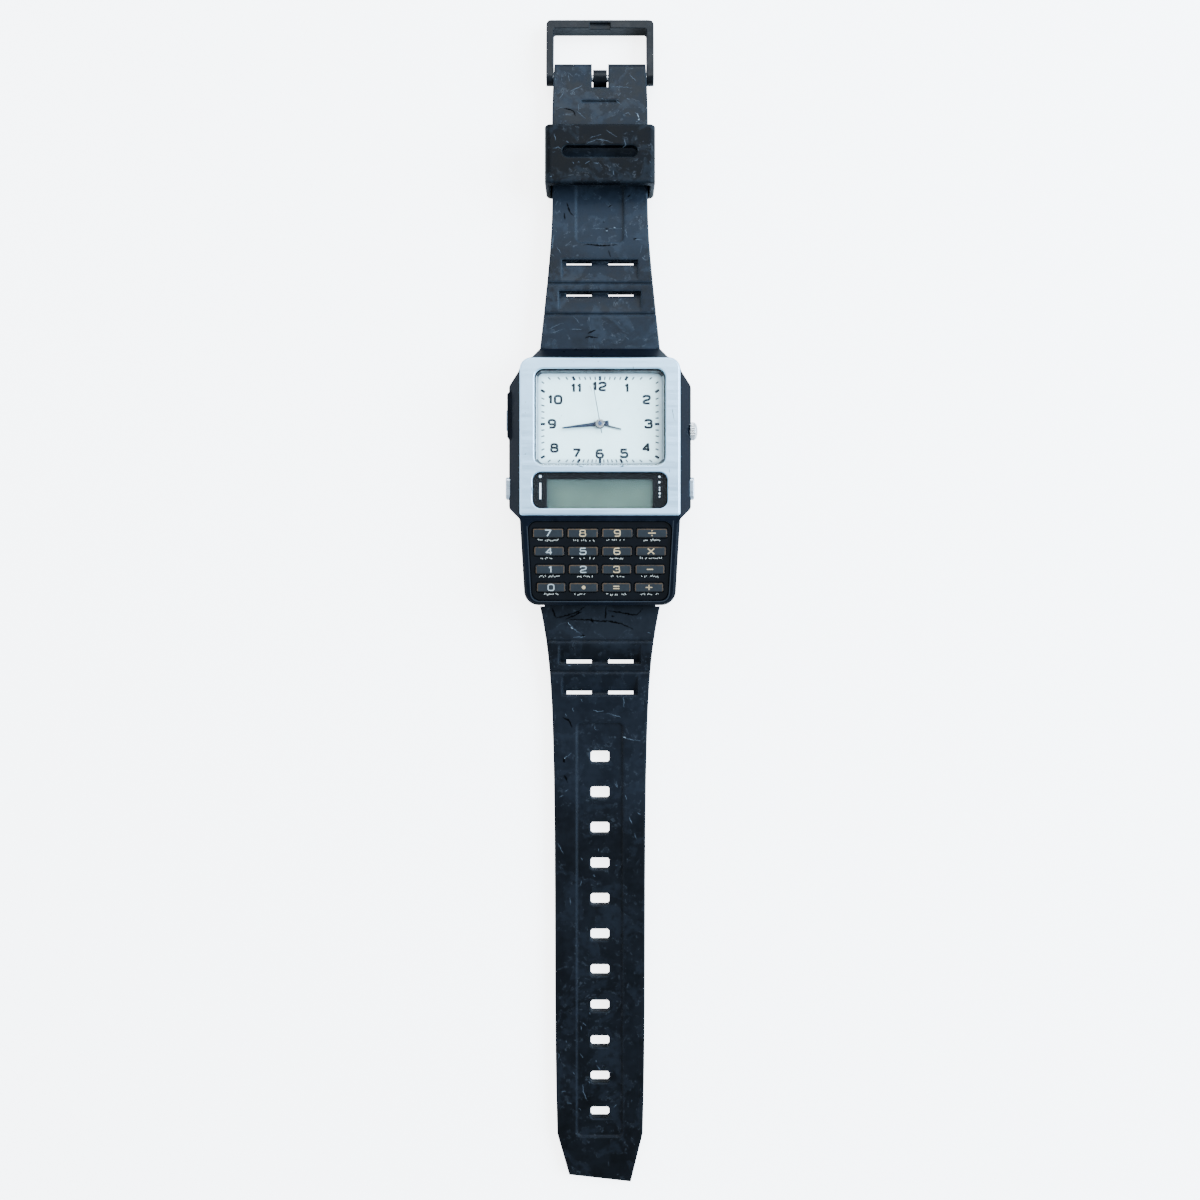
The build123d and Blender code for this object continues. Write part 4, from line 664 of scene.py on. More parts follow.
@dataclass(frozen=True)
class Finish:
    """What every finish has: a name, a colour, and how even and smooth it is."""

    name: str
    colour: Colour
    roughness: float = 0.4
    metallic: float = 0.0
    specular: float = 0.5

    def begin(self) -> tuple[bpy.types.Material, Graph, bpy.types.Node]:
        """Make the material with its Principled node, and set what is the same all over."""
        material = bpy.data.materials.new(self.name)
        material.use_nodes = True
        shader = material.node_tree.nodes["Principled BSDF"]
        shader.inputs["Base Color"].default_value = (*self.colour, 1.0)
        shader.inputs["Roughness"].default_value = self.roughness
        shader.inputs["Metallic"].default_value = self.metallic
        shader.inputs["Specular IOR Level"].default_value = self.specular
        return material, Graph(material.node_tree), shader

    @staticmethod
    def effect(graph: Graph, tree: bpy.types.NodeTree, **values: float) -> bpy.types.bpy_prop_collection:
        """Place a shared group in the material with its own values, and return its outputs."""
        node = graph.add("Group", node_tree=tree)
        for key, value in values.items():
            node.inputs[key].default_value = value
        return node.outputs

    def banded(self, graph: Graph, colour: Any, cloud: Socket, bands: Sequence[Band]) -> Any:
        """Lay bands along Y over a colour, a little uneven with the cloud."""
        for band in bands:
            mask = self.effect(graph, band_group(), Start=band.start, End=band.end, Soft=band.soft)["Mask"]
            share = graph.times(graph.plus(0.65, graph.times(cloud, 0.35)), band.share)
            colour = graph.wash(colour, mask, share, band.colour)
        return colour

    def toned(self, share: float) -> Colour:
        """The finish's colour times a share, at most 1."""
        return tuple(min(1.0, part * share) for part in self.colour)

    @staticmethod
    def bump(graph: Graph, height: Socket, strength: float, depth: float, normal: Any = None) -> Socket:
        """A normal bent by a height."""
        node = graph.add("Bump")
        node.inputs["Strength"].default_value = strength
        node.inputs["Distance"].default_value = depth
        graph.feed(node.inputs["Height"], height)
        graph.feed(node.inputs["Normal"], normal)
        return node.outputs[0]

    def material(self) -> bpy.types.Material:
        """Build the material."""
        raise NotImplementedError


@dataclass(frozen=True)
class Resin(Finish):
    """Black moulded resin, handled for years: cloudy, scratched, grey on its edges in wear and painted
    highlight, dusty in its corners.
    """

    worn_and_highlight: Colour = (0.05, 0.055, 0.06)
    scratched: Colour = (0.06, 0.065, 0.075)
    dusty: Colour = (0.035, 0.033, 0.030)
    edge: float = 0.00030
    reach: float = 0.5
    scratches: float = 0.5
    cloud: float = 120.0
    clouding: float = 0.4
    grain: float = 0.15
    dust: float = 0.3
    bands: tuple[Band, ...] = ()
    stains: float = 0.0
    stain_scale: float = 170.0
    # line: share of a painted highlight, in the worn colour, laid along every edge
    line: float = 0.0
    lift: float = 2.2
    sink: float = 0.5
    hair_depth: float = 0.6
    depth: float = 0.00003

    def material(self) -> bpy.types.Material:
        """Mix cloud, bands, stains, scratches, edge wear, a painted edge highlight and dust over the colour,
        with a moulded grain.
        """
        material, graph, shader = self.begin()
        cloud = self.effect(graph, mottle_group(), Scale=self.cloud)["Tone"]
        edges = self.effect(graph, edge_wear_group(), Width=self.edge, Reach=self.reach)
        hairs = self.effect(graph, scratches_group(), Amount=self.scratches)["Mask"]
        dust = self.effect(graph, dust_group())["Mask"]
        dark, pale = self.toned(1 - self.sink * self.clouding), self.toned(1 + self.lift * self.clouding)
        colour = self.banded(graph, graph.mix(cloud, dark, pale), cloud, self.bands)
        if self.stains:
            stains = self.effect(graph, stains_group(), Scale=self.stain_scale)
            colour = graph.wash(colour, stains["Patch"], self.stains * 0.35, self.worn_and_highlight)
            colour = graph.wash(colour, stains["Line"], self.stains * 0.8, self.scratched)
        colour = graph.wash(colour, dust, self.dust, self.dusty)
        colour = graph.wash(colour, hairs, 0.55, self.scratched)
        colour = graph.wash(colour, edges["Mask"], 0.6, self.worn_and_highlight)
        # painted highlight: a lighter line along every edge, standing in for light caught by rounded edges
        colour = graph.wash(colour, edges["Edge"], self.line, self.worn_and_highlight)
        graph.feed(shader.inputs["Base Color"], colour)
        rough = graph.plus(self.roughness, graph.times(graph.minus(cloud, 0.5), 0.16))
        graph.feed(shader.inputs["Roughness"], graph.plus(rough, graph.times(hairs, 0.2)))
        grain = graph.times(self.effect(graph, grain_group())["Height"], self.grain)
        height = graph.minus(grain, graph.times(hairs, self.hair_depth))
        graph.feed(shader.inputs["Normal"], self.bump(graph, height, 0.6, self.depth, edges["Normal"]))
        return material


@dataclass(frozen=True)
class Metal(Finish):
    """Bright metal with brushed lines, rubbed edges and a few scratches."""

    metallic: float = 1.0
    edge_colour: Colour = (0.85, 0.87, 0.9)
    tarnish: Colour = (0.30, 0.30, 0.31)
    brushing: float = 0.4
    scale: float = 9000.0
    scratches: float = 0.3
    dirt: float = 0.35
    dirty: Colour = (0.06, 0.055, 0.05)
    sheen: float = 0.18
    depth: float = 0.00001

    def material(self) -> bpy.types.Material:
        """Streak the colour and the roughness, brighten the edges, and darken scratches and corners."""
        material, graph, shader = self.begin()
        streaks = self.effect(graph, brushed_group(), Scale=self.scale)
        edges = self.effect(graph, edge_wear_group(), Width=0.00022, Reach=0.9)
        fine = {"Amount": self.scratches, "Scale": 160.0, "Fineness": 0.008}
        hairs = self.effect(graph, scratches_group(), **fine)["Mask"]
        dust = self.effect(graph, dust_group(), Reach=0.0005)["Mask"]
        cloud = self.effect(graph, mottle_group(), Scale=90.0)["Tone"]
        colour = graph.mix(streaks["Tone"], self.toned(1 - 0.35 * self.brushing), self.colour)
        colour = graph.wash(colour, cloud, 0.12, self.tarnish)
        colour = graph.wash(colour, edges["Mask"], 0.7, self.edge_colour)
        colour = graph.wash(colour, hairs, 0.5, self.tarnish)
        colour = graph.wash(colour, dust, self.dirt, self.dirty)
        graph.feed(shader.inputs["Base Color"], colour)
        uneven = graph.times(graph.minus(streaks["Tone"], 0.5), self.sheen)
        graph.feed(shader.inputs["Roughness"], graph.plus(self.roughness, uneven))
        height = graph.minus(graph.times(streaks["Height"], self.brushing), graph.times(hairs, 0.5))
        graph.feed(shader.inputs["Normal"], self.bump(graph, height, 0.5, self.depth, edges["Normal"]))
        return material


@dataclass(frozen=True)
class Painted(Finish):
    """An even coat, such as a dial's or a print's: a little mottled and specked, with painted shade on its
    rim where one is given.
    """

    specks: Colour = (0.35, 0.34, 0.30)
    mottling: float = 0.05
    specking: float = 0.0
    fading: float = 0.0
    faded: Colour = (0.2, 0.2, 0.2)
    # Painted shade: a darker tone laid inside the four edges of this rectangle, in metres.
    rim: tuple[float, float, float, float] | None = None
    rim_shade_reach: float = 0.0016
    rim_shade_colour: Colour = (0.2, 0.2, 0.2)
    bands: tuple[Band, ...] = ()

    def material(self) -> bpy.types.Material:
        """Mottle the colour, add specks, let rubbed patches fade, and paint shade on the rim."""
        material, graph, shader = self.begin()
        cloud = self.effect(graph, mottle_group(), Scale=150.0)["Tone"]
        colour = graph.mix(cloud, self.toned(1 - 2 * self.mottling), self.colour)
        speck = graph.span(graph.noise(graph.place(), 2600.0, 2.0, 0.5), 0.74, 0.78)
        colour = graph.wash(colour, speck, self.specking, self.specks)
        patch = graph.span(graph.noise(graph.place(), 900.0, 5.0, 0.7), 0.52, 0.64)
        colour = graph.wash(colour, patch, self.fading, self.faded)
        # Painted shade along the rim of the given rectangle.
        if self.rim:
            sides = dict(zip(("Left", "Right", "Low", "High"), self.rim))
            shade = self.effect(graph, rim_shade_group(), Reach=self.rim_shade_reach, **sides)["Mask"]
            colour = graph.wash(colour, shade, 0.8, self.rim_shade_colour)
        colour = self.banded(graph, colour, cloud, self.bands)
        graph.feed(shader.inputs["Base Color"], colour)
        graph.feed(shader.inputs["Normal"], self.bump(graph, cloud, 0.15, 0.00002))
        return material


@dataclass(frozen=True)
class Worn(Finish):
    """A key's slate plastic, rubbed through to brown and gold along its edges."""

    gold: Colour = (0.13, 0.075, 0.035)
    brown: Colour = (0.03, 0.017, 0.010)
    scratched: Colour = (0.05, 0.05, 0.05)
    edge: float = 0.00022

    def material(self) -> bpy.types.Material:
        """Cloud the colour and lay gold brown wear on the edges."""
        material, graph, shader = self.begin()
        cloud = self.effect(graph, mottle_group(), Scale=300.0)["Tone"]
        edges = self.effect(graph, edge_wear_group(), Width=self.edge, Patches=500.0, Reach=1.0)
        hairs = self.effect(graph, scratches_group(), Scale=140.0, Amount=0.3)["Mask"]
        colour = graph.mix(cloud, self.toned(0.65), self.colour)
        tint = graph.mix(graph.noise(graph.place(), 1200.0, 3.0, 0.6), self.brown, self.gold)
        colour = graph.wash(colour, hairs, 0.3, self.scratched)
        colour = graph.wash(colour, edges["Mask"], 0.85, tint)
        graph.feed(shader.inputs["Base Color"], colour)
        height = self.effect(graph, grain_group(), Scale=6000.0)["Height"]
        graph.feed(shader.inputs["Normal"], self.bump(graph, height, 0.25, 0.00001, edges["Normal"]))
        return material


@dataclass(frozen=True)
class Glazed(Finish):
    """Clear glass that lets lamp light through, with faint hair scratches."""

    index: float = 1.45
    scratches: float = 0.25

    def material(self) -> bpy.types.Material:
        """A transmitting shader whose shadow is clear."""
        material, graph, shader = self.begin()
        shader.inputs["Transmission Weight"].default_value = 1.0
        shader.inputs["IOR"].default_value = self.index
        fine = {"Amount": self.scratches, "Scale": 150.0, "Fineness": 0.006}
        hairs = self.effect(graph, scratches_group(), **fine)["Mask"]
        graph.feed(shader.inputs["Roughness"], graph.times(hairs, 0.35))
        shadow = graph.add("LightPath").outputs["Is Shadow Ray"]
        graph.blend(shadow, shader.outputs[0], graph.add("BsdfTransparent").outputs[0])
        return material


class Shade(Enum):
    """The finishes of this watch."""

    CASE = Resin("case resin", (0.0012, 0.0023, 0.0047), 0.34, specular=0.05, scratches=0.2, grain=0.08,
                 clouding=0.2, worn_and_highlight=(0.03, 0.038, 0.050), scratched=(0.03, 0.035, 0.042), line=0.15)
    STRAP = Resin("strap resin", (0.0008, 0.0011, 0.0017), 0.46, specular=0.07, scratches=0.30, clouding=0.5,
                  worn_and_highlight=(0.014, 0.018, 0.026), scratched=(0.035, 0.042, 0.052), edge=0.0007, stains=0.55,
                  line=0.4,
                  bands=(Band(-0.117, -0.020, 0.010, 0.15, (0.0058, 0.0078, 0.0120)),
                         Band(-0.065, -0.038, 0.005, 0.55, (0.0058, 0.0078, 0.0120)),
                         Band(-0.032, -0.024, 0.001, 0.55, (0.0090, 0.0112, 0.0150))))
    # Buckle half: lighter and bluer than the hole half, partly hazed wear and partly a painted reflection of
    # the bluish light falling on it; its bands are more of the same.
    STRAP_HAZE_AND_REFLECTION = Resin("strap resin hazed", (0.0026, 0.0042, 0.0068), 0.46, specular=0.12, scratches=0.35,
                       clouding=0.4, worn_and_highlight=(0.022, 0.032, 0.046), scratched=(0.045, 0.055, 0.068), edge=0.0007,
                       stains=0.8, line=0.4,
                       bands=(Band(0.045, 0.066, 0.0025, 0.75, (0.0085, 0.0132, 0.0210)),
                              Band(0.020, 0.033, 0.0025, 0.35, (0.0085, 0.0132, 0.0210))))
    KEEPER = Resin("keeper resin", (0.0007, 0.0012, 0.0020), 0.42, specular=0.06, scratches=0.35,
                   clouding=0.4, worn_and_highlight=(0.018, 0.026, 0.036), scratched=(0.04, 0.047, 0.056), edge=0.0006,
                   stains=0.7, stain_scale=150.0, line=0.3)
    BUCKLE = Resin("buckle resin", (0.0010, 0.0016, 0.0026), 0.36, specular=0.12, scratches=0.3, reach=0.8,
                   worn_and_highlight=(0.022, 0.028, 0.036), scratched=(0.03, 0.035, 0.04), stains=0.3, line=0.15)
    HOUSING = Resin("keypad gloss", (0.0006, 0.0010, 0.0018), 0.16, specular=0.14, scratches=0.3, grain=0.02,
                    clouding=0.25, worn_and_highlight=(0.020, 0.024, 0.031), scratched=(0.03, 0.033, 0.038), dust=0.2)
    INNER = Resin("black satin", (0.0016, 0.0020, 0.0028), 0.42, specular=0.2, scratches=0.1, dust=0.2,
                  worn_and_highlight=(0.02, 0.022, 0.025))
    GASKET = Resin("gasket rubber", (0.02, 0.02, 0.02), 0.7, scratches=0.0)
    MEMBRANE = Resin("membrane rubber", (0.35, 0.35, 0.35), 0.7, scratches=0.0, clouding=0.1)
    CONNECTOR = Resin("connector rubber", (0.25, 0.25, 0.27), 0.6, scratches=0.0, clouding=0.1)
    BEZEL = Metal("bezel metal", (0.54, 0.80, 1.0), 0.40, brushing=0.14, scratches=0.2,
                  edge_colour=(0.75, 0.88, 1.0), tarnish=(0.30, 0.36, 0.42))
    STEEL = Metal("spring steel", (0.62, 0.62, 0.62), 0.28)
    BACK = Metal("back steel", (0.62, 0.63, 0.64), 0.30, brushing=0.5, scratches=0.6)
    CELL = Metal("cell steel", (0.70, 0.70, 0.70), 0.22, brushing=0.15)
    CROWN = Metal("crown metal", (0.66, 0.66, 0.65), 0.24, brushing=0.2, scratches=0.6, dirt=0.7)
    BUTTON = Metal("button metal", (0.46, 0.53, 0.60), 0.30, brushing=0.25, scratches=0.6, dirt=0.6)
    BRASS = Metal("train brass", (0.72, 0.55, 0.25), 0.25, brushing=0.2, edge_colour=(0.9, 0.75, 0.4))
    MAGNET = Metal("magnet", (0.16, 0.16, 0.17), 0.4)
    COPPER = Metal("coil copper", (0.60, 0.27, 0.12), 0.35, edge_colour=(0.8, 0.45, 0.25))
    IRON = Metal("stator iron", (0.45, 0.45, 0.47), 0.35)
    HUB = Metal("hand hub", (0.42, 0.42, 0.40), 0.25, brushing=0.1)
    HAND_DARK = Painted("hand blue black", (0.005, 0.010, 0.022), 0.25, specular=0.3, mottling=0.1)
    HAND_GREY = Painted("hand grey", (0.03, 0.036, 0.042), 0.35, specular=0.3)
    HAND_FINE = Painted("second hand grey", (0.006, 0.009, 0.013), 0.35, specular=0.3)
    HUB_BLUE = Painted("hub middle", (0.02, 0.035, 0.07), 0.3, specular=0.4)
    # Painted reflection and shadow: a grey tone in place of the light the sloped ring reflects at its sides,
    # and a dark band over its top where shade falls.
    RING_PAINTED_LIGHT = Painted("dial ring", (0.24, 0.30, 0.32), 0.3, specular=0.4, mottling=0.2,
                   bands=(Band(0.0186, 0.03, 0.0006, 1.0, (0.016, 0.018, 0.017)),))
    # The dial's rim carries painted shade, where the crystal's edges and the opening shade it.
    DIAL = Painted("dial paint", (0.60, 0.78, 0.75), 0.45, specular=0.3, mottling=0.035, specking=0.25,
                   rim=(-0.0121, 0.0119, 0.0021, 0.0198), rim_shade_reach=0.0015, rim_shade_colour=(0.24, 0.30, 0.34))
    # The panel's rim carries painted shade, which falls mostly along the window's top and left edges.
    DISPLAY = Painted("display glass", (0.060, 0.086, 0.062), 0.22, specular=0.3, mottling=0.10, specking=0.1,
                      rim=(-0.0104, 0.0112, -0.0085, -0.0008), rim_shade_reach=0.0032,
                      rim_shade_colour=(0.024, 0.037, 0.032))
    BOARD = Painted("board", (0.03, 0.16, 0.07), 0.35)
    FILM = Painted("contact film", (0.45, 0.22, 0.05), 0.35)
    MOULDING = Painted("movement plastic", (0.75, 0.75, 0.71), 0.45)
    PRINT_BLACK = Painted("dial print", (0.001, 0.002, 0.005), 0.5, specular=0.1, mottling=0.1)
    PRINT_GREY = Painted("minute print", (0.02, 0.025, 0.028), 0.5, fading=0.6, faded=(0.12, 0.135, 0.135))
    PRINT_WHITE = Painted("window print", (0.70, 0.74, 0.76), 0.45)
    PRINT_CREAM = Painted("key print", (0.38, 0.27, 0.14), 0.45, mottling=0.1, fading=0.5,
                          faded=(0.46, 0.42, 0.32))
    PRINT_SILVER = Painted("key print pale", (0.30, 0.33, 0.33), 0.45, mottling=0.1, fading=0.5,
                           faded=(0.42, 0.38, 0.28))
    KEY_GOLD = Painted("key edge gold", (0.080, 0.044, 0.020), 0.4, specular=0.3, mottling=0.3, fading=0.95,
                       faded=(0.012, 0.011, 0.011))
    # Painted highlight: a lighter, patchy line where the keypad pocket's edge catches the light.
    RIM_HIGHLIGHT = Painted("rim rubbed line", (0.007, 0.011, 0.017), 0.3, mottling=0.2, fading=0.85,
                       faded=(0.004, 0.006, 0.009))
    CRACK = Painted("strap crack", (0.0003, 0.0004, 0.0006), 0.7, specular=0.02)
    SCUFF = Painted("strap scuff", (0.050, 0.064, 0.082), 0.6, specular=0.1, mottling=0.2, fading=0.95,
                    faded=(0.008, 0.012, 0.018))
    FLECK = Painted("strap fleck", (0.16, 0.19, 0.22), 0.6, specular=0.1, mottling=0.2, fading=0.9,
                    faded=(0.02, 0.027, 0.036))
    NICK = Painted("nick", (0.02, 0.02, 0.022), 0.6, specular=0.1, fading=0.6, faded=(0.12, 0.13, 0.14))
    PRINT_PANEL = Painted("panel print", (0.40, 0.39, 0.34), 0.5, fading=0.6, faded=(0.03, 0.03, 0.032))
    KEY = Worn("key plastic", (0.0075, 0.0105, 0.0135), 0.42, specular=0.25)
    CRYSTAL = Glazed("crystal", (1.0, 1.0, 1.0), 0.0, index=1.33, scratches=0.03)
    WINDOW = Glazed("window", (0.93, 0.96, 0.97), 0.0, index=1.33, scratches=0.05)


@cache
def material_of(shade: Shade) -> bpy.types.Material:
    """The material of a finish, built once."""
    return shade.value.material()


# Sub-assemblies


@dataclass
class SubAssembly:
    """A group of pieces that are dressed together."""

    frame: dict[str, Any]

    def dress(self, shade: Shade, *nodes: str) -> None:
        """Give carried-over nodes a finish.

        Args:
            shade: The finish.
            nodes: Names of the nodes.
        """
        for name in nodes:
            for slot in self.frame["nodes"][name].material_slots:
                slot.material = material_of(shade)
            log.info("dressed %s with %s", name, shade.value.name)

    def piece(self, name: str, parts: Sequence[Shell], body: str, shade: Shade, slot: str,
              smooth: bool = False) -> None:
        """Make a new piece, put it on a body and give it its finish.

        Args:
            name: Name of the piece.
            parts: Sets of points and faces that make it up.
            body: The body that it rides on.
            shade: Its finish.
            slot: The record's material slot that it stands for; not used.
            smooth: Whether it is shaded smooth.
        """
        made = fill_mesh(name, *gather(parts), smooth=smooth)
        made.data.materials.append(material_of(shade))
        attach(made, body)
        log.info("made %s on %s", name, body)


@dataclass
class Case(SubAssembly):
    """Case, bezel, back and what seals them."""

    face: Level = Level((0.0, 0.0, 10.0))
    nicks: Lines = (
        (6.3, 20.7, 6.4, 20.2), (13.8, 12.6, 13.9, 11.7, 14.1, 10.5), (14.2, 10.4, 14.3, 10.2),
        (-0.5, 21.5, -0.2, 21.6), (-5.1, 21.45, -4.9, 21.5), (-14.3, 13.8, -14.1, 13.8),
        (-14.3, 11.8, -14.2, 11.7), (-14.4, 3.7, -14.1, 4.0), (13.2, 1.1, 13.3, 0.2),
        (-13.15, -1.6, -13.0, -3.8), (13.1, -2.3, 13.12, -2.9))
    chips: Lines = ((-4.1, 1.6, -3.2, 1.4), (3.7, 1.4, 4.7, 1.6))

    def build(self) -> None:
        """Dress the case's nodes and mark the bezel."""
        self.dress(Shade.CASE, "case_body")
        self.dress(Shade.BEZEL, "bezel")
        self.dress(Shade.BACK, "case_back")
        self.dress(Shade.STEEL, "case_back_screws", "spring_bars")
        self.dress(Shade.GASKET, "case_back_gasket")
        self.dress(Shade.CRYSTAL, "dial_crystal")
        self.dress(Shade.WINDOW, "lcd_window")
        self.dress(Shade.INNER, "display_frame")
        marks = [scrawl.draw(lines, self.face) for scrawl, lines in (
            (Scrawl(0.13, 0.02, 3), self.nicks), (Scrawl(0.2, 0.04, 4), self.chips))]
        self.piece("bezel_nicks", marks, "case", Shade.NICK, "bezel_metal")


@dataclass
class Module(SubAssembly):
    """Battery, board, gear train and motor."""

    def build(self) -> None:
        """Dress the module's nodes."""
        self.dress(Shade.CELL, "battery")
        self.dress(Shade.STEEL, "battery_clip", "setting_lever", "stem")
        self.dress(Shade.BOARD, "circuit_board")
        self.dress(Shade.MOULDING, "train_bridge", "movement_plate")
        self.dress(Shade.BRASS, "intermediate_wheel", "seconds_wheel", "third_wheel", "centre_wheel",
                   "minute_wheel", "hour_wheel")
        self.dress(Shade.MAGNET, "motor_rotor")
        self.dress(Shade.COPPER, "motor_coil")
        self.dress(Shade.IRON, "motor_stator")
        self.dress(Shade.CONNECTOR, "lcd_connectors")


@dataclass
class Dial(SubAssembly):
    """The dial with its figures and minute track, and the hands."""

    level: Level = Level((0.0, 0.0, 7.8))
    hub: Pair = (0.0, 9.9)
    hand: Hand = Hand(0.61, 0.72, 0.47)
    track_half_width: float = 11.0
    track_low: float = 2.8
    track_high: float = 18.7
    hour_mark: Pair = (0.88, 0.48)
    minute_mark: Pair = (0.64, 0.26)
    open_half_width: float = 12.6
    open_low: float = 1.7
    open_high: float = 20.3
    open_corner: float = 1.8
    crystal_low: float = 8.79
    lining: tuple[Pair, Pair] = ((0.68, 0.60), (0.34, 0.26))
    hub_ring: Place = (0.84, 8.69, 8.735)
    hub_middle: Place = (0.40, 8.70, 8.755)
    specks: Lines = (
        (4.6, 14.5, 4.8, 14.5), (7.4, 12.9, 7.6, 12.7), (-7.5, 11.6, -7.3, 11.4), (-7.9, 11.1, -7.7, 11.0),
        (3.7, 12.9, 3.8, 12.9), (7.7, 7.6, 7.9, 7.5), (-2.0, 17.3, -1.5, 16.1))
    figures: dict[str, Pair] = field(default_factory=lambda: {
        "12": (-0.08, 17.15), "1": (5.1, 16.8), "2": (9.0, 14.6), "3": (9.35, 9.95), "4": (8.95, 5.35),
        "5": (4.65, 4.25), "6": (-0.05, 4.15), "7": (-4.55, 4.28), "8": (-8.8, 5.3), "9": (-9.25, 9.95),
        "10": (-8.65, 14.6), "11": (-4.65, 16.8)})

    def track(self, minutes: Array, size: Pair) -> Shell:
        """Marks on the track's rectangle, each on the ray from the hub at its minute.

        The ray (sin a, cos a) meets the rectangle at the smaller of its two reaches: half width / |sin a|,
        and the distance up or down to the edge / |cos a|.

        Args:
            minutes: Minutes (n) round the dial.
            size: Length and width of a mark.

        Returns:
            Points and faces of the marks.
        """
        turn = minutes * np.pi / 30
        sine, cosine = np.sin(turn), np.cos(turn)
        edge = np.where(cosine > 0, self.track_high - self.hub[1], self.hub[1] - self.track_low)
        reach = np.minimum(self.track_half_width / np.maximum(np.abs(sine), TINY),
                           edge / np.maximum(np.abs(cosine), TINY))
        centres = np.stack([self.hub[0] + reach * sine, self.hub[1] + reach * cosine], axis=-1)
        return prisms(bars(centres, np.pi / 2 - turn, *size), 0.0, PRINT_HEIGHT, self.level)

    def outline(self, inset: float) -> Array:
        """The dial opening's rounded rectangle, drawn in by an inset."""
        x, low, high = self.open_half_width - inset, self.open_low + inset, self.open_high - inset
        corners = np.array([[-x, low], [x, low], [x, high], [-x, high]])
        return bent(corners, self.open_corner - inset, closed=True)

    def ring(self) -> Shell:
        """A thin lining on the sloped ring round the dial, which carries a painted reflection and a painted
        shadow.

        Four loops of the opening's outline, each (x, y, z) with its own inset and height, are joined by
        quads: two at the dial, two under the crystal.

        Returns:
            Points and faces of the closed lining.
        """
        foot, top = self.level.origin[2], self.crystal_low
        (low_in, low_out), (high_in, high_out) = self.lining
        loops = ((low_in, foot), (low_out, foot), (high_out, top), (high_in, top))
        rings = [np.pad(self.outline(inset), ((0, 0), (0, 1)), constant_values=z) for inset, z in loops]
        count = len(rings[0])
        along, around = np.arange(count)[:, None], np.arange(4)[None] * count
        ahead, turned = (along + 1) % count, (around + count) % (4 * count)
        faces = np.stack([along + around, along + turned, ahead + turned, ahead + around], axis=-1)
        return np.concatenate(rings), faces.reshape(-1, 4).tolist()

    def build(self) -> None:
        """Print the dial, line its ring with painted reflection and shadow, and dress the hands."""
        self.dress(Shade.DIAL, "dial")
        self.dress(Shade.HAND_DARK, "minute_hand")
        self.dress(Shade.HAND_GREY, "hour_hand")
        self.dress(Shade.HAND_FINE, "second_hand")
        figures = [self.hand.write(text, centre, 0.0, self.level) for text, centre in self.figures.items()]
        self.piece("dial_figures", figures, "case", Shade.PRINT_BLACK, "frame_black")
        minutes = np.arange(60)
        between = minutes[minutes % 5 > 0]
        for name, shade, marks in (
                ("dial_hour_marks", Shade.PRINT_BLACK, self.track(minutes[::5], self.hour_mark)),
                ("dial_minute_marks", Shade.PRINT_GREY, self.track(between, self.minute_mark)),
                ("dial_specks", Shade.PRINT_GREY, Scrawl(0.11, 0.02, 5).draw(self.specks, self.level))):
            self.piece(name, [marks], "case", shade, "frame_black")
        # The lining carries painted light: grey for the ring's reflection, dark at the top for shade.
        self.piece("dial_ring", [self.ring()], "case", Shade.RING_PAINTED_LIGHT, "frame_black", smooth=True)
        for name, (radius, low, high), corners, shade, slot in (
                ("hub_ring", self.hub_ring, 40, Shade.HUB, "spring_steel"),
                ("hub_middle", self.hub_middle, 28, Shade.HUB_BLUE, "frame_black")):
            disc = prisms(rounds(np.array([self.hub]), radius, corners), low, high, Level())
            self.piece(name, [disc], "seconds", shade, slot)


@dataclass
class Display(SubAssembly):
    """The digital window's panel and the marks beside it."""

    level: Level = Level((0.0, 0.0, 8.8))
    stripe: tuple[float, ...] = (-11.45, -3.1, 3.1, 0.34)
    dots: tuple[Place, ...] = (
        (-11.45, -0.3, 0.27), (11.4, -0.35, 0.21), (11.4, -1.4, 0.2), (11.45, -3.55, 0.2))
    dashes: tuple[tuple[float, ...], ...] = (
        (11.42, -2.45, 0.3, 0.22), (11.42, -2.9, 0.3, 0.22), (11.42, -4.2, 0.3, 0.22))

    def build(self) -> None:
        """Dress the panel and print the marks on the mask: an upright stripe, dots and upright dashes."""
        self.dress(Shade.DISPLAY, "lcd_panel")
        stripe, dashes = (bars(rows[:, :2], np.full(len(rows), np.pi / 2), rows[:, 2], rows[:, 3])
                          for rows in (np.array([self.stripe]), np.array(self.dashes)))
        dots = np.array(self.dots)
        marks = [prisms(outlines, 0.0, PRINT_HEIGHT, self.level)
                 for outlines in (stripe, rounds(dots[:, :2], dots[:, 2]), dashes)]
        self.piece("window_marks", marks, "case", Shade.PRINT_WHITE, "dial_paint")


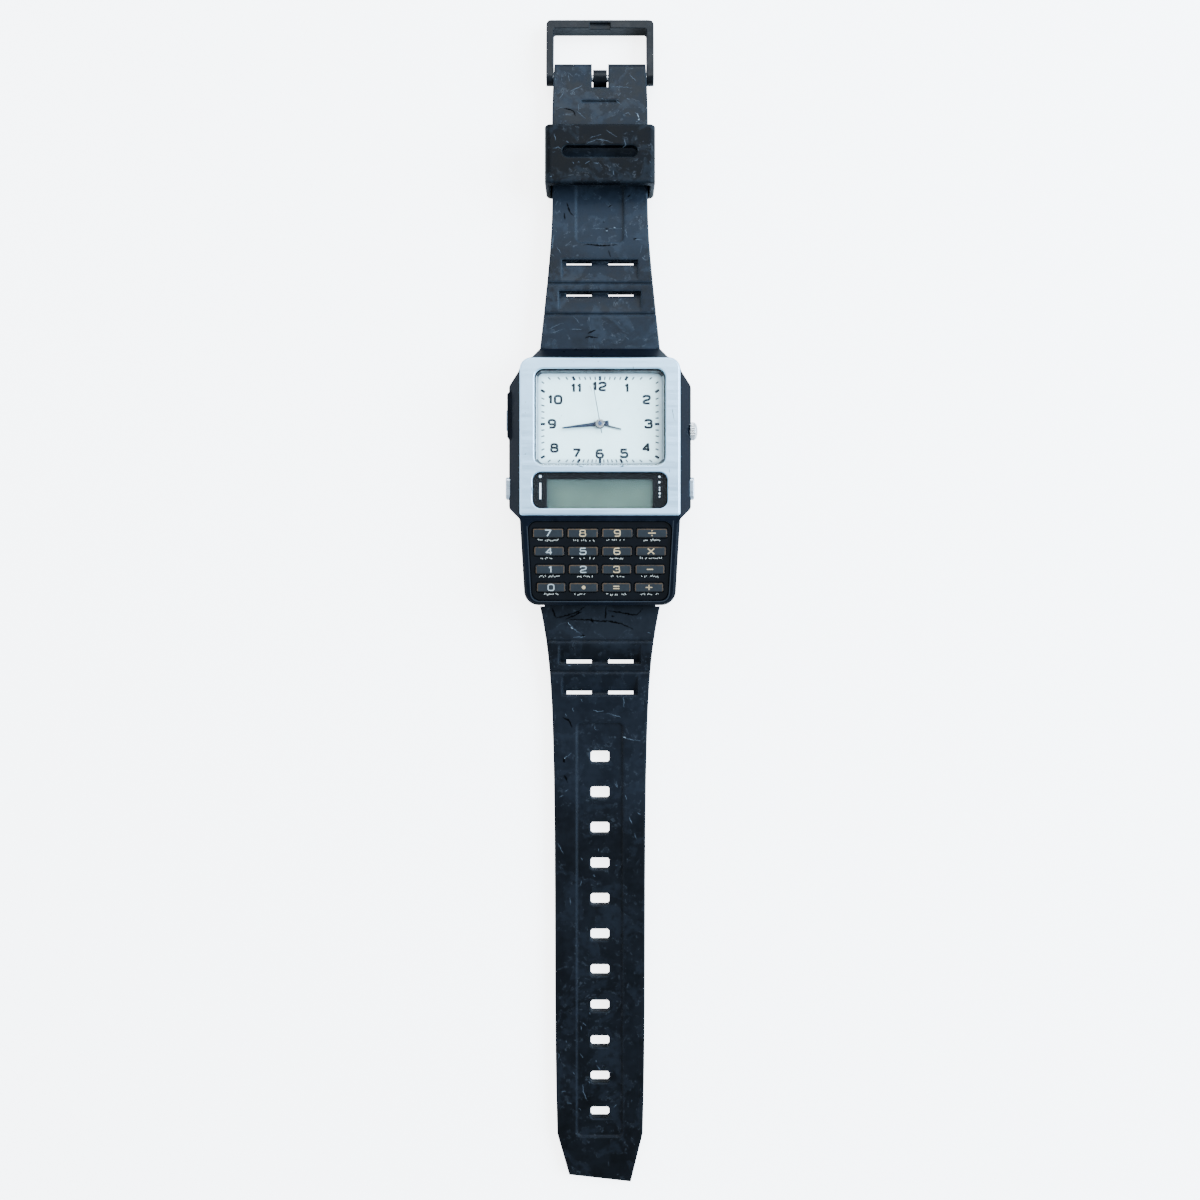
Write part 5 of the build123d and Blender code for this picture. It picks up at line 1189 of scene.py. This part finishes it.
@dataclass
class Keypad(SubAssembly):
    """Keys with their figures, and the panel with small marks under each key and a painted highlight along
    its pocket's edge.
    """

    level: Level = Level((0.0, -7.85, 9.5), 4.5)
    pitch_high: float = 6.65
    pitch_low: float = 6.29
    row_pitch: float = 3.48
    first_row: float = -3.35
    key_top: float = -0.2
    panel_top: float = -0.7
    key_gap: float = 0.8
    key_depth: float = 1.75
    rub_inset: Pair = (0.16, 0.15)
    rub_widths: Pair = (0.07, 0.2)
    rub_heights: Pair = (-0.03, 0.01)
    rub_rounding: float = 0.12
    rub_steps: int = 9
    rub_seed: int = 40
    dash_count: int = 12
    dash_seed: int = 7
    dash_reach: Pair = (1.3, 2.2)
    dash_drop: float = 1.36
    dash_sway: float = 0.12
    dash_turns: tuple[float, ...] = (0.0, np.pi / 2, 0.9, -0.9)
    dash_lengths: Pair = (0.18, 0.42)
    dash_width: float = 0.12
    dash_gaps: float = 0.3
    # Rounding, width and heights of the painted highlight line along the pocket's edge.
    highlight_rounding: float = 1.8
    highlight_width: float = 0.14
    highlight_heights: Pair = (-0.03, 0.012)
    hand: Hand = Hand(0.56, 0.58, 0.20)
    silver: tuple[str, ...] = ("7", "4", "1", "0", "2", "5")
    pocket: tuple[Pair, ...] = ((-13.99, -2.0), (-13.29, -16.52), (13.29, -16.52), (14.06, -0.93))
    names: tuple[tuple[str, str], ...] = (
        ("7", "7"), ("8", "8"), ("9", "9"), ("divide", "÷"), ("4", "4"), ("5", "5"), ("6", "6"),
        ("multiply", "×"), ("1", "1"), ("2", "2"), ("3", "3"), ("minus", "-"), ("0", "0"), ("point", "."),
        ("equals", "="), ("plus", "+"))

    def pitch(self, row: int) -> float:
        """The distance between the keys of a row, which shrinks toward the lowest row."""
        return self.pitch_high + (self.pitch_low - self.pitch_high) * row / 3

    def centre(self, index: int) -> Pair:
        """The middle of a key on the keypad's level."""
        row, column = divmod(index, 4)
        return (column - 1.5) * self.pitch(row), self.first_row - row * self.row_pitch

    def wear(self, index: int) -> Shell:
        """The rubbed edge of a key: a line up its left side, along its top and down its right side.

        Each corner of the line is centre + (+-(width / 2 - inset), +-(depth / 2 - inset)), and is rounded.
        The width of the line is seeded.

        Args:
            index: Number of the key.

        Returns:
            Points and faces of the line.
        """
        half = (self.pitch(index // 4) - self.key_gap) / 2 - self.rub_inset[0]
        rise = self.key_depth / 2 - self.rub_inset[1]
        corners = np.array([[-half, -rise], [-half, rise], [half, rise], [half, -rise]]) + self.centre(index)
        shares = np.linspace(0.0, 1.0, self.rub_steps)[:-1, None, None]
        runs = (corners[None, :-1] * (1 - shares) + corners[None, 1:] * shares).transpose(1, 0, 2)
        line = bent(np.concatenate([runs.reshape(-1, 2), corners[-1:]]), self.rub_rounding, steps=3)
        widths = np.random.default_rng(self.rub_seed + index).uniform(*self.rub_widths, len(line))
        low, high = (self.key_top + height for height in self.rub_heights)
        return traced(line, widths, low, high, self.level)

    def small_marks(self) -> Shell:
        """Rows of short dashes below the keys, each of a seeded length, turn and height.

        Returns:
            Points and faces of all the dashes.
        """
        chance = np.random.default_rng(self.dash_seed)
        centres = np.array([self.centre(index) for index in range(len(self.names))])
        reach = chance.uniform(*self.dash_reach, (len(centres), 1))
        u = centres[:, :1] + np.linspace(-1.0, 1.0, self.dash_count)[None] * reach
        v = centres[:, 1:] - self.dash_drop + chance.uniform(-self.dash_sway, self.dash_sway, u.shape)
        turns = chance.choice(self.dash_turns, u.shape)
        lengths = chance.uniform(*self.dash_lengths, u.shape)
        kept = chance.random(u.shape) > self.dash_gaps
        outlines = bars(np.stack([u[kept], v[kept]], axis=-1), turns[kept], lengths[kept], self.dash_width)
        return prisms(outlines, self.panel_top, self.panel_top + PRINT_HEIGHT, self.level)

    def build(self) -> None:
        """Dress the keys, print them and the panel, and paint a highlight along the pocket's edge."""
        self.dress(Shade.HOUSING, "keypad_panel")
        self.dress(Shade.MEMBRANE, "keypad_membrane")
        self.dress(Shade.FILM, "keypad_contacts")
        for index, (name, text) in enumerate(self.names):
            self.dress(Shade.KEY, f"key_{name}")
            shade = Shade.PRINT_SILVER if text in self.silver else Shade.PRINT_CREAM
            legend = self.hand.write(text, self.centre(index), self.key_top, self.level)
            self.piece(f"legend_{name}", [legend], f"key_{name}", shade, "key_plastic")
            self.piece(f"wear_{name}", [self.wear(index)], f"key_{name}", Shade.KEY_GOLD, "key_plastic")
        self.piece("panel_marks", [self.small_marks()], "case", Shade.PRINT_PANEL, "keypad_gloss")
        # Painted highlight along the pocket's edge.
        edge = bent(np.array(self.pocket), self.highlight_rounding)
        line = traced(edge, self.highlight_width, *self.highlight_heights, self.level)
        self.piece("pocket_line", [line], "case", Shade.RIM_HIGHLIGHT, "keypad_gloss")


@dataclass
class Controls(SubAssembly):
    """Crown and push buttons."""

    def build(self) -> None:
        """Dress the crown and the buttons."""
        self.dress(Shade.CROWN, "crown")
        self.dress(Shade.BUTTON, "button_lower_right", "button_lower_left", "button_upper_left")


@dataclass
class Strap(SubAssembly):
    """Both strap halves with their cracks and scuffs, the keeper and the buckle."""

    hole_top: Slope = Slope(
        chain=((25.25, 4.55), (32.03, 3.991), (40.89, 3.045), (46.1, 2.4), (129.5, 2.4), (139.3, 1.9)))
    channel: Slope = Slope(chain=((48.3, 2.0), (129.5, 2.0)))
    buckle_top: Slope = Slope(chain=((25.25, 4.55), (46.0, 4.15), (70.0, 4.15), (79.1, 3.9), (80.4, 3.9)))
    recess: Slope = Slope(chain=((46.2, 3.75), (62.0, 3.75)))
    keeper_top: Level = Level((0.0, 0.0, 9.0))
    keeper_scuffs: Lines = (
        (-8.8, 65.4, -8.5, 64.2), (-9.0, 62.6, -8.0, 62.9, -7.4, 62.5), (-9.2, 61.9, -8.6, 62.0),
        (-2.0, 64.6, 0.2, 65.3), (-2.6, 63.6, -0.6, 64.4, 1.4, 64.1, 2.6, 63.6), (1.2, 66.1, 3.2, 64.9),
        (4.6, 64.5, 5.0, 63.4, 4.4, 62.8), (8.2, 64.0, 8.25, 63.8), (9.6, 60.2, 9.65, 59.8),
        (-4.2, 60.1, -4.0, 59.9), (-5.2, 60.0, -5.1, 59.7),
        (-1.9, 60.2, -2.9, 59.7), (-1.2, 59.9, -0.2, 59.8), (-9.6, 57.2, -9.2, 57.3), (2.6, 58.5, 2.7, 57.5),
        (6.0, 66.0, 6.4, 65.8), (-6.4, 64.0, -6.0, 63.8), (9.7, 57.4, 9.9, 57.2))
    buckle_flecks: Lines = (
        (7.4, 71.4, 7.6, 70.6), (7.7, 70.5, 7.5, 70.1), (2.7, 49.1, 3.0, 49.0), (1.2, 48.5, 1.5, 48.5))
    hole_flecks: Lines = (
        (-6.2, -28.4, -5.8, -29.0), (-5.7, -29.3, -5.3, -29.7), (4.6, -51.1, 5.2, -51.3),
        (-7.1, -55.4, -6.8, -55.2))
    hole_cracks: Lines = (
        (-3.0, -25.3, -4.3, -26.3, -6.4, -27.0, -8.6, -27.5), (-3.5, -26.3, -5.0, -27.0, -6.7, -27.8),
        (-6.0, -27.8, -2.2, -27.9, 0.1, -28.2, 1.4, -28.1, 4.0, -28.6, 6.5, -29.7),
        (1.2, -25.3, 1.1, -26.8, 1.0, -27.6), (1.5, -26.1, 4.4, -26.5, 7.1, -27.0, 8.4, -25.7),
        (2.2, -27.2, 2.8, -27.2), (-7.4, -47.2, -6.1, -47.9, -5.5, -49.3), (-7.2, -55.2, -7.0, -56.1),
        (-3.8, -30.9, -3.0, -31.0), (-1.8, -27.5, -1.3, -28.4), (-9.4, -25.5, -8.6, -27.5),
        (-7.1, -58.6, -6.4, -60.1), (-7.3, -55.7, -7.1, -56.1))
    hole_scuffs: Lines = (
        (-6.2, -28.4, -5.6, -29.1, -5.0, -29.7, -4.5, -30.2, -3.4, -31.0),
        (-1.4, -45.8, -0.3, -46.1, 0.8, -46.0), (1.4, -46.4, 2.7, -46.7, 4.1, -47.2),
        (-5.4, -45.2, -5.2, -46.2), (-6.8, -46.5, -6.6, -47.0), (-7.1, -55.4, -5.6, -54.3),
        (4.8, -51.1, 6.1, -51.6, 8.1, -51.8), (9.3, -30.4, 10.0, -30.6), (4.6, -43.2, 4.8, -45.2),
        (-3.8, -43.4, -3.5, -44.1), (-6.3, -36.8, -5.7, -37.0), (-5.4, -31.4, -2.9, -31.2),
        (7.4, -66.0, 7.7, -66.2, 8.1, -66.5), (5.0, -62.6, 5.3, -63.6), (6.8, -70.2, 7.2, -71.2),
        (-8.3, -72.2, -7.3, -74.1), (-7.1, -61.9, -6.2, -61.5), (-8.1, -63.1, -7.2, -62.6),
        (5.8, -66.9, 6.3, -68.2), (-6.0, -82.8, -5.8, -84.3), (-8.1, -113.7, -8.1, -114.7),
        (-6.8, -111.1, -6.5, -111.6), (-5.3, -117.4, -5.0, -117.9), (-6.6, -123.4, -5.6, -123.7),
        (6.3, -122.8, 6.2, -123.2), (-7.7, -121.3, -6.9, -121.2))
    channel_scuffs: Lines = (
        (-1.1, -48.9, -1.0, -49.6, -0.4, -49.8), (3.3, -59.9, 3.4, -61.2), (2.9, -60.4, 3.6, -61.3),
        (-3.8, -75.1, -3.5, -75.6), (-3.7, -79.6, -3.9, -80.6), (-1.3, -78.4, -1.0, -78.9),
        (-0.3, -73.3, -0.3, -73.8), (3.0, -76.6, 3.4, -76.6), (-3.4, -107.7, -2.8, -108.4),
        (-3.8, -108.4, -3.7, -109.2), (-0.6, -116.2, -0.2, -116.7, 0.1, -117.4),
        (-3.4, -120.0, -3.3, -121.5, -2.6, -123.0), (-4.2, -124.7, -3.8, -125.1), (2.7, -124.5, 3.3, -124.0),
        (-0.8, -115.1, -0.7, -115.6), (-3.9, -113.9, -3.3, -114.8), (-2.0, -105.7, -2.0, -106.2),
        (-2.2, -119.3, -2.0, -119.8))
    buckle_cracks: Lines = (
        (-3.3, 45.6, -2.5, 45.8, 0.2, 45.5, 3.4, 45.7), (1.7, 44.6, 2.1, 43.2),
        (-6.5, 54.0, -5.9, 52.1, -5.2, 51.4), (-2.9, 27.3, -2.3, 27.6, -0.4, 27.4), (-2.4, 28.2, -0.9, 28.9),
        (5.4, 55.1, 5.9, 55.4), (6.5, 46.8, 7.2, 46.9), (-7.0, 51.9, -6.9, 50.7),
        (-7.1, 72.5, -5.8, 72.3, -5.1, 71.8, -4.8, 71.0))
    buckle_scuffs: Lines = (
        (-8.0, 52.5, -7.8, 51.9), (-9.1, 47.6, -9.3, 45.8, -9.5, 44.9), (-8.4, 45.2, -7.7, 44.0),
        (5.0, 48.7, 5.3, 47.1), (-5.2, 31.7, -4.1, 30.3), (-6.0, 29.1, -3.6, 29.0),
        (-9.9, 29.1, -8.6, 29.8, -7.2, 30.3), (-7.3, 29.1, -9.5, 28.3), (7.9, 44.0, 8.4, 45.8),
        (6.5, 46.8, 8.4, 46.7), (5.0, 27.6, 5.6, 27.0), (-9.9, 35.2, -9.6, 35.3), (-6.3, 79.7, -6.0, 77.7),
        (-6.1, 79.5, -5.3, 78.7), (-7.5, 79.2, -7.6, 77.9), (-8.9, 78.7, -8.8, 77.9),
        (-8.0, 74.4, -7.1, 75.8), (-5.8, 75.9, -3.5, 77.0), (5.6, 79.5, 7.1, 77.9),
        (-8.7, 72.3, -7.4, 72.7), (-4.6, 72.0, -2.8, 70.4),
        (4.5, 71.2, 5.5, 71.7, 6.0, 71.2), (5.0, 70.9, 4.5, 71.2), (6.9, 71.7, 7.4, 71.2),
        (7.0, 70.0, 7.4, 69.9), (5.3, 74.5, 5.8, 74.3), (3.2, 74.1, 4.2, 73.1), (0.3, 74.4, 0.8, 74.4),
        (-4.3, 73.3, -4.2, 72.0), (-6.9, 70.0, -6.6, 70.0), (2.4, 76.9, 6.4, 76.6))
    recess_scuffs: Lines = (
        (-1.8, 49.0, 4.3, 49.0), (0.6, 49.0, 1.1, 49.0), (4.1, 49.2, 4.3, 48.9))
    recess_cracks: Lines = (
        (1.6, 53.2, 2.3, 53.7), (0.6, 50.4, 0.8, 50.2), (1.0, 49.0, 1.8, 49.0))

    def build(self) -> None:
        """Dress the strap's nodes and lay its cracks and scuffs on them."""
        self.dress(Shade.STRAP, "strap_hole_side")
        # the buckle half's finish carries a painted reflection besides its haze
        self.dress(Shade.STRAP_HAZE_AND_REFLECTION, "strap_buckle_side")
        self.dress(Shade.KEEPER, "strap_keeper")
        self.dress(Shade.BUCKLE, "buckle_frame", "buckle_tongue")
        self.dress(Shade.STEEL, "buckle_bar")
        hole, buckle = "hole_strap", "buckle_strap"
        for name, body, shade, marks in (
                ("hole_strap_cracks", hole, Shade.CRACK, [
                    Scrawl(0.46, 0.07, 11).draw(self.hole_cracks, self.hole_top)]),
                ("hole_strap_scuffs", hole, Shade.SCUFF, [
                    Scrawl(0.17, 0.09, 12).draw(self.hole_scuffs, self.hole_top),
                    Scrawl(0.15, 0.08, 13).draw(self.channel_scuffs, self.channel)]),
                ("buckle_strap_cracks", buckle, Shade.CRACK, [
                    Scrawl(0.36, 0.05, 14).draw(self.buckle_cracks, self.buckle_top),
                    Scrawl(0.24, 0.05, 15).draw(self.recess_cracks, self.recess)]),
                ("buckle_strap_scuffs", buckle, Shade.SCUFF, [
                    Scrawl(0.16, 0.09, 16).draw(self.buckle_scuffs, self.buckle_top),
                    Scrawl(0.14, 0.06, 17).draw(self.recess_scuffs, self.recess)]),
                ("keeper_scuffs", "keeper", Shade.SCUFF, [
                    Scrawl(0.15, 0.08, 18).draw(self.keeper_scuffs, self.keeper_top)]),
                ("buckle_strap_flecks", buckle, Shade.FLECK, [
                    Scrawl(0.26, 0.08, 19).draw(self.buckle_flecks, self.buckle_top)]),
                ("hole_strap_flecks", hole, Shade.FLECK, [
                    Scrawl(0.26, 0.08, 20).draw(self.hole_flecks, self.hole_top)])):
            self.piece(name, marks, body, shade, "case_resin")


@dataclass(frozen=True)
class Lamp:
    """A soft square lamp: its name, its place and side in millimetres, its power in watts and its colour."""

    name: str
    place: Place
    size: float
    power: float
    colour: Colour

    def hang(self) -> None:
        """Hang the lamp with its face toward the watch."""
        data = bpy.data.lights.new(self.name, "AREA")
        data.shape, data.size, data.energy, data.color = "SQUARE", self.size * MM, self.power, self.colour
        lamp = bpy.data.objects.new(self.name, data)
        lamp.location = [part * MM for part in self.place]
        toward = -np.asarray(self.place) / np.linalg.norm(self.place)
        lamp.rotation_mode = "QUATERNION"
        lamp.rotation_quaternion = Vector(toward.tolist()).to_track_quat("-Z", "Y")
        bpy.context.scene.collection.objects.link(lamp)


@dataclass
class Studio:
    """Camera, floor and lights. The camera looks straight down, as in the photograph."""

    camera_place: Place = (0.0, -24.0, 220.0)
    lens: float = 33.0
    sensor: float = 36.0
    floor_size: float = 1600.0
    floor_drop: float = 0.02
    floor_glow: float = 4.2
    floor_colour: Colour = (0.93, 0.93, 0.93)
    sky: Colour = (0.72, 0.86, 1.0)
    sky_strength: float = 1.35
    lamps: tuple[Lamp, ...] = (
        Lamp("lamp_left", (-700.0, 150.0, 480.0), 600.0, 2.5, (0.92, 0.95, 1.0)),
        Lamp("lamp_right", (700.0, 100.0, 480.0), 600.0, 28.0, (0.58, 0.78, 1.0)),
        Lamp("lamp_head", (0.0, 520.0, 620.0), 500.0, 7.0, (0.86, 0.94, 1.0)))

    def camera(self) -> None:
        """Set the camera over the watch, with +Y up in the image."""
        data = bpy.data.cameras.new("camera")
        data.lens, data.sensor_width, data.clip_start, data.clip_end = self.lens, self.sensor, 0.01, 10.0
        camera = bpy.data.objects.new("camera", data)
        camera.location = [part * MM for part in self.camera_place]
        bpy.context.scene.collection.objects.link(camera)
        bpy.context.scene.camera = camera

    def floor(self) -> None:
        """Lay a plain pale floor just under the watch, which is clear when seen from below."""
        half = self.floor_size / 2
        corners = np.array([[-half, -half], [half, -half], [half, half], [-half, half]])
        points = Level((0.0, 0.0, -self.floor_drop)).place(corners, np.zeros(4))
        floor = fill_mesh("floor", points, [[0, 1, 2, 3]])
        material = Painted("floor", self.floor_colour, 0.8, mottling=0.0, specular=0.1).material()
        graph, shader = Graph(material.node_tree), material.node_tree.nodes["Principled BSDF"]
        shader.inputs["Emission Color"].default_value = (1.0, 1.0, 1.0, 1.0)
        seen = graph.add("LightPath").outputs["Is Camera Ray"]
        graph.feed(shader.inputs["Emission Strength"], graph.times(seen, self.floor_glow))
        below = graph.add("NewGeometry").outputs["Backfacing"]
        graph.blend(below, shader.outputs[0], graph.add("BsdfTransparent").outputs[0])
        floor.data.materials.append(material)

    def build(self) -> None:
        """Set up the studio."""
        self.camera()
        self.floor()
        world = bpy.data.worlds.new("studio")
        world.use_nodes = True
        background = world.node_tree.nodes["Background"].inputs
        background["Color"].default_value = (*self.sky, 1.0)
        background["Strength"].default_value = self.sky_strength
        bpy.context.scene.world = world
        for lamp in self.lamps:
            lamp.hang()


def main() -> None:
    """Load the model, dress it, add its printing and set up the studio."""
    logging.basicConfig(level=logging.INFO, format="%(message)s")
    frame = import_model()
    for part in (Case, Module, Dial, Display, Keypad, Controls, Strap):
        part(frame).build()
    Studio().build()


if __name__ == "__main__":
    main()
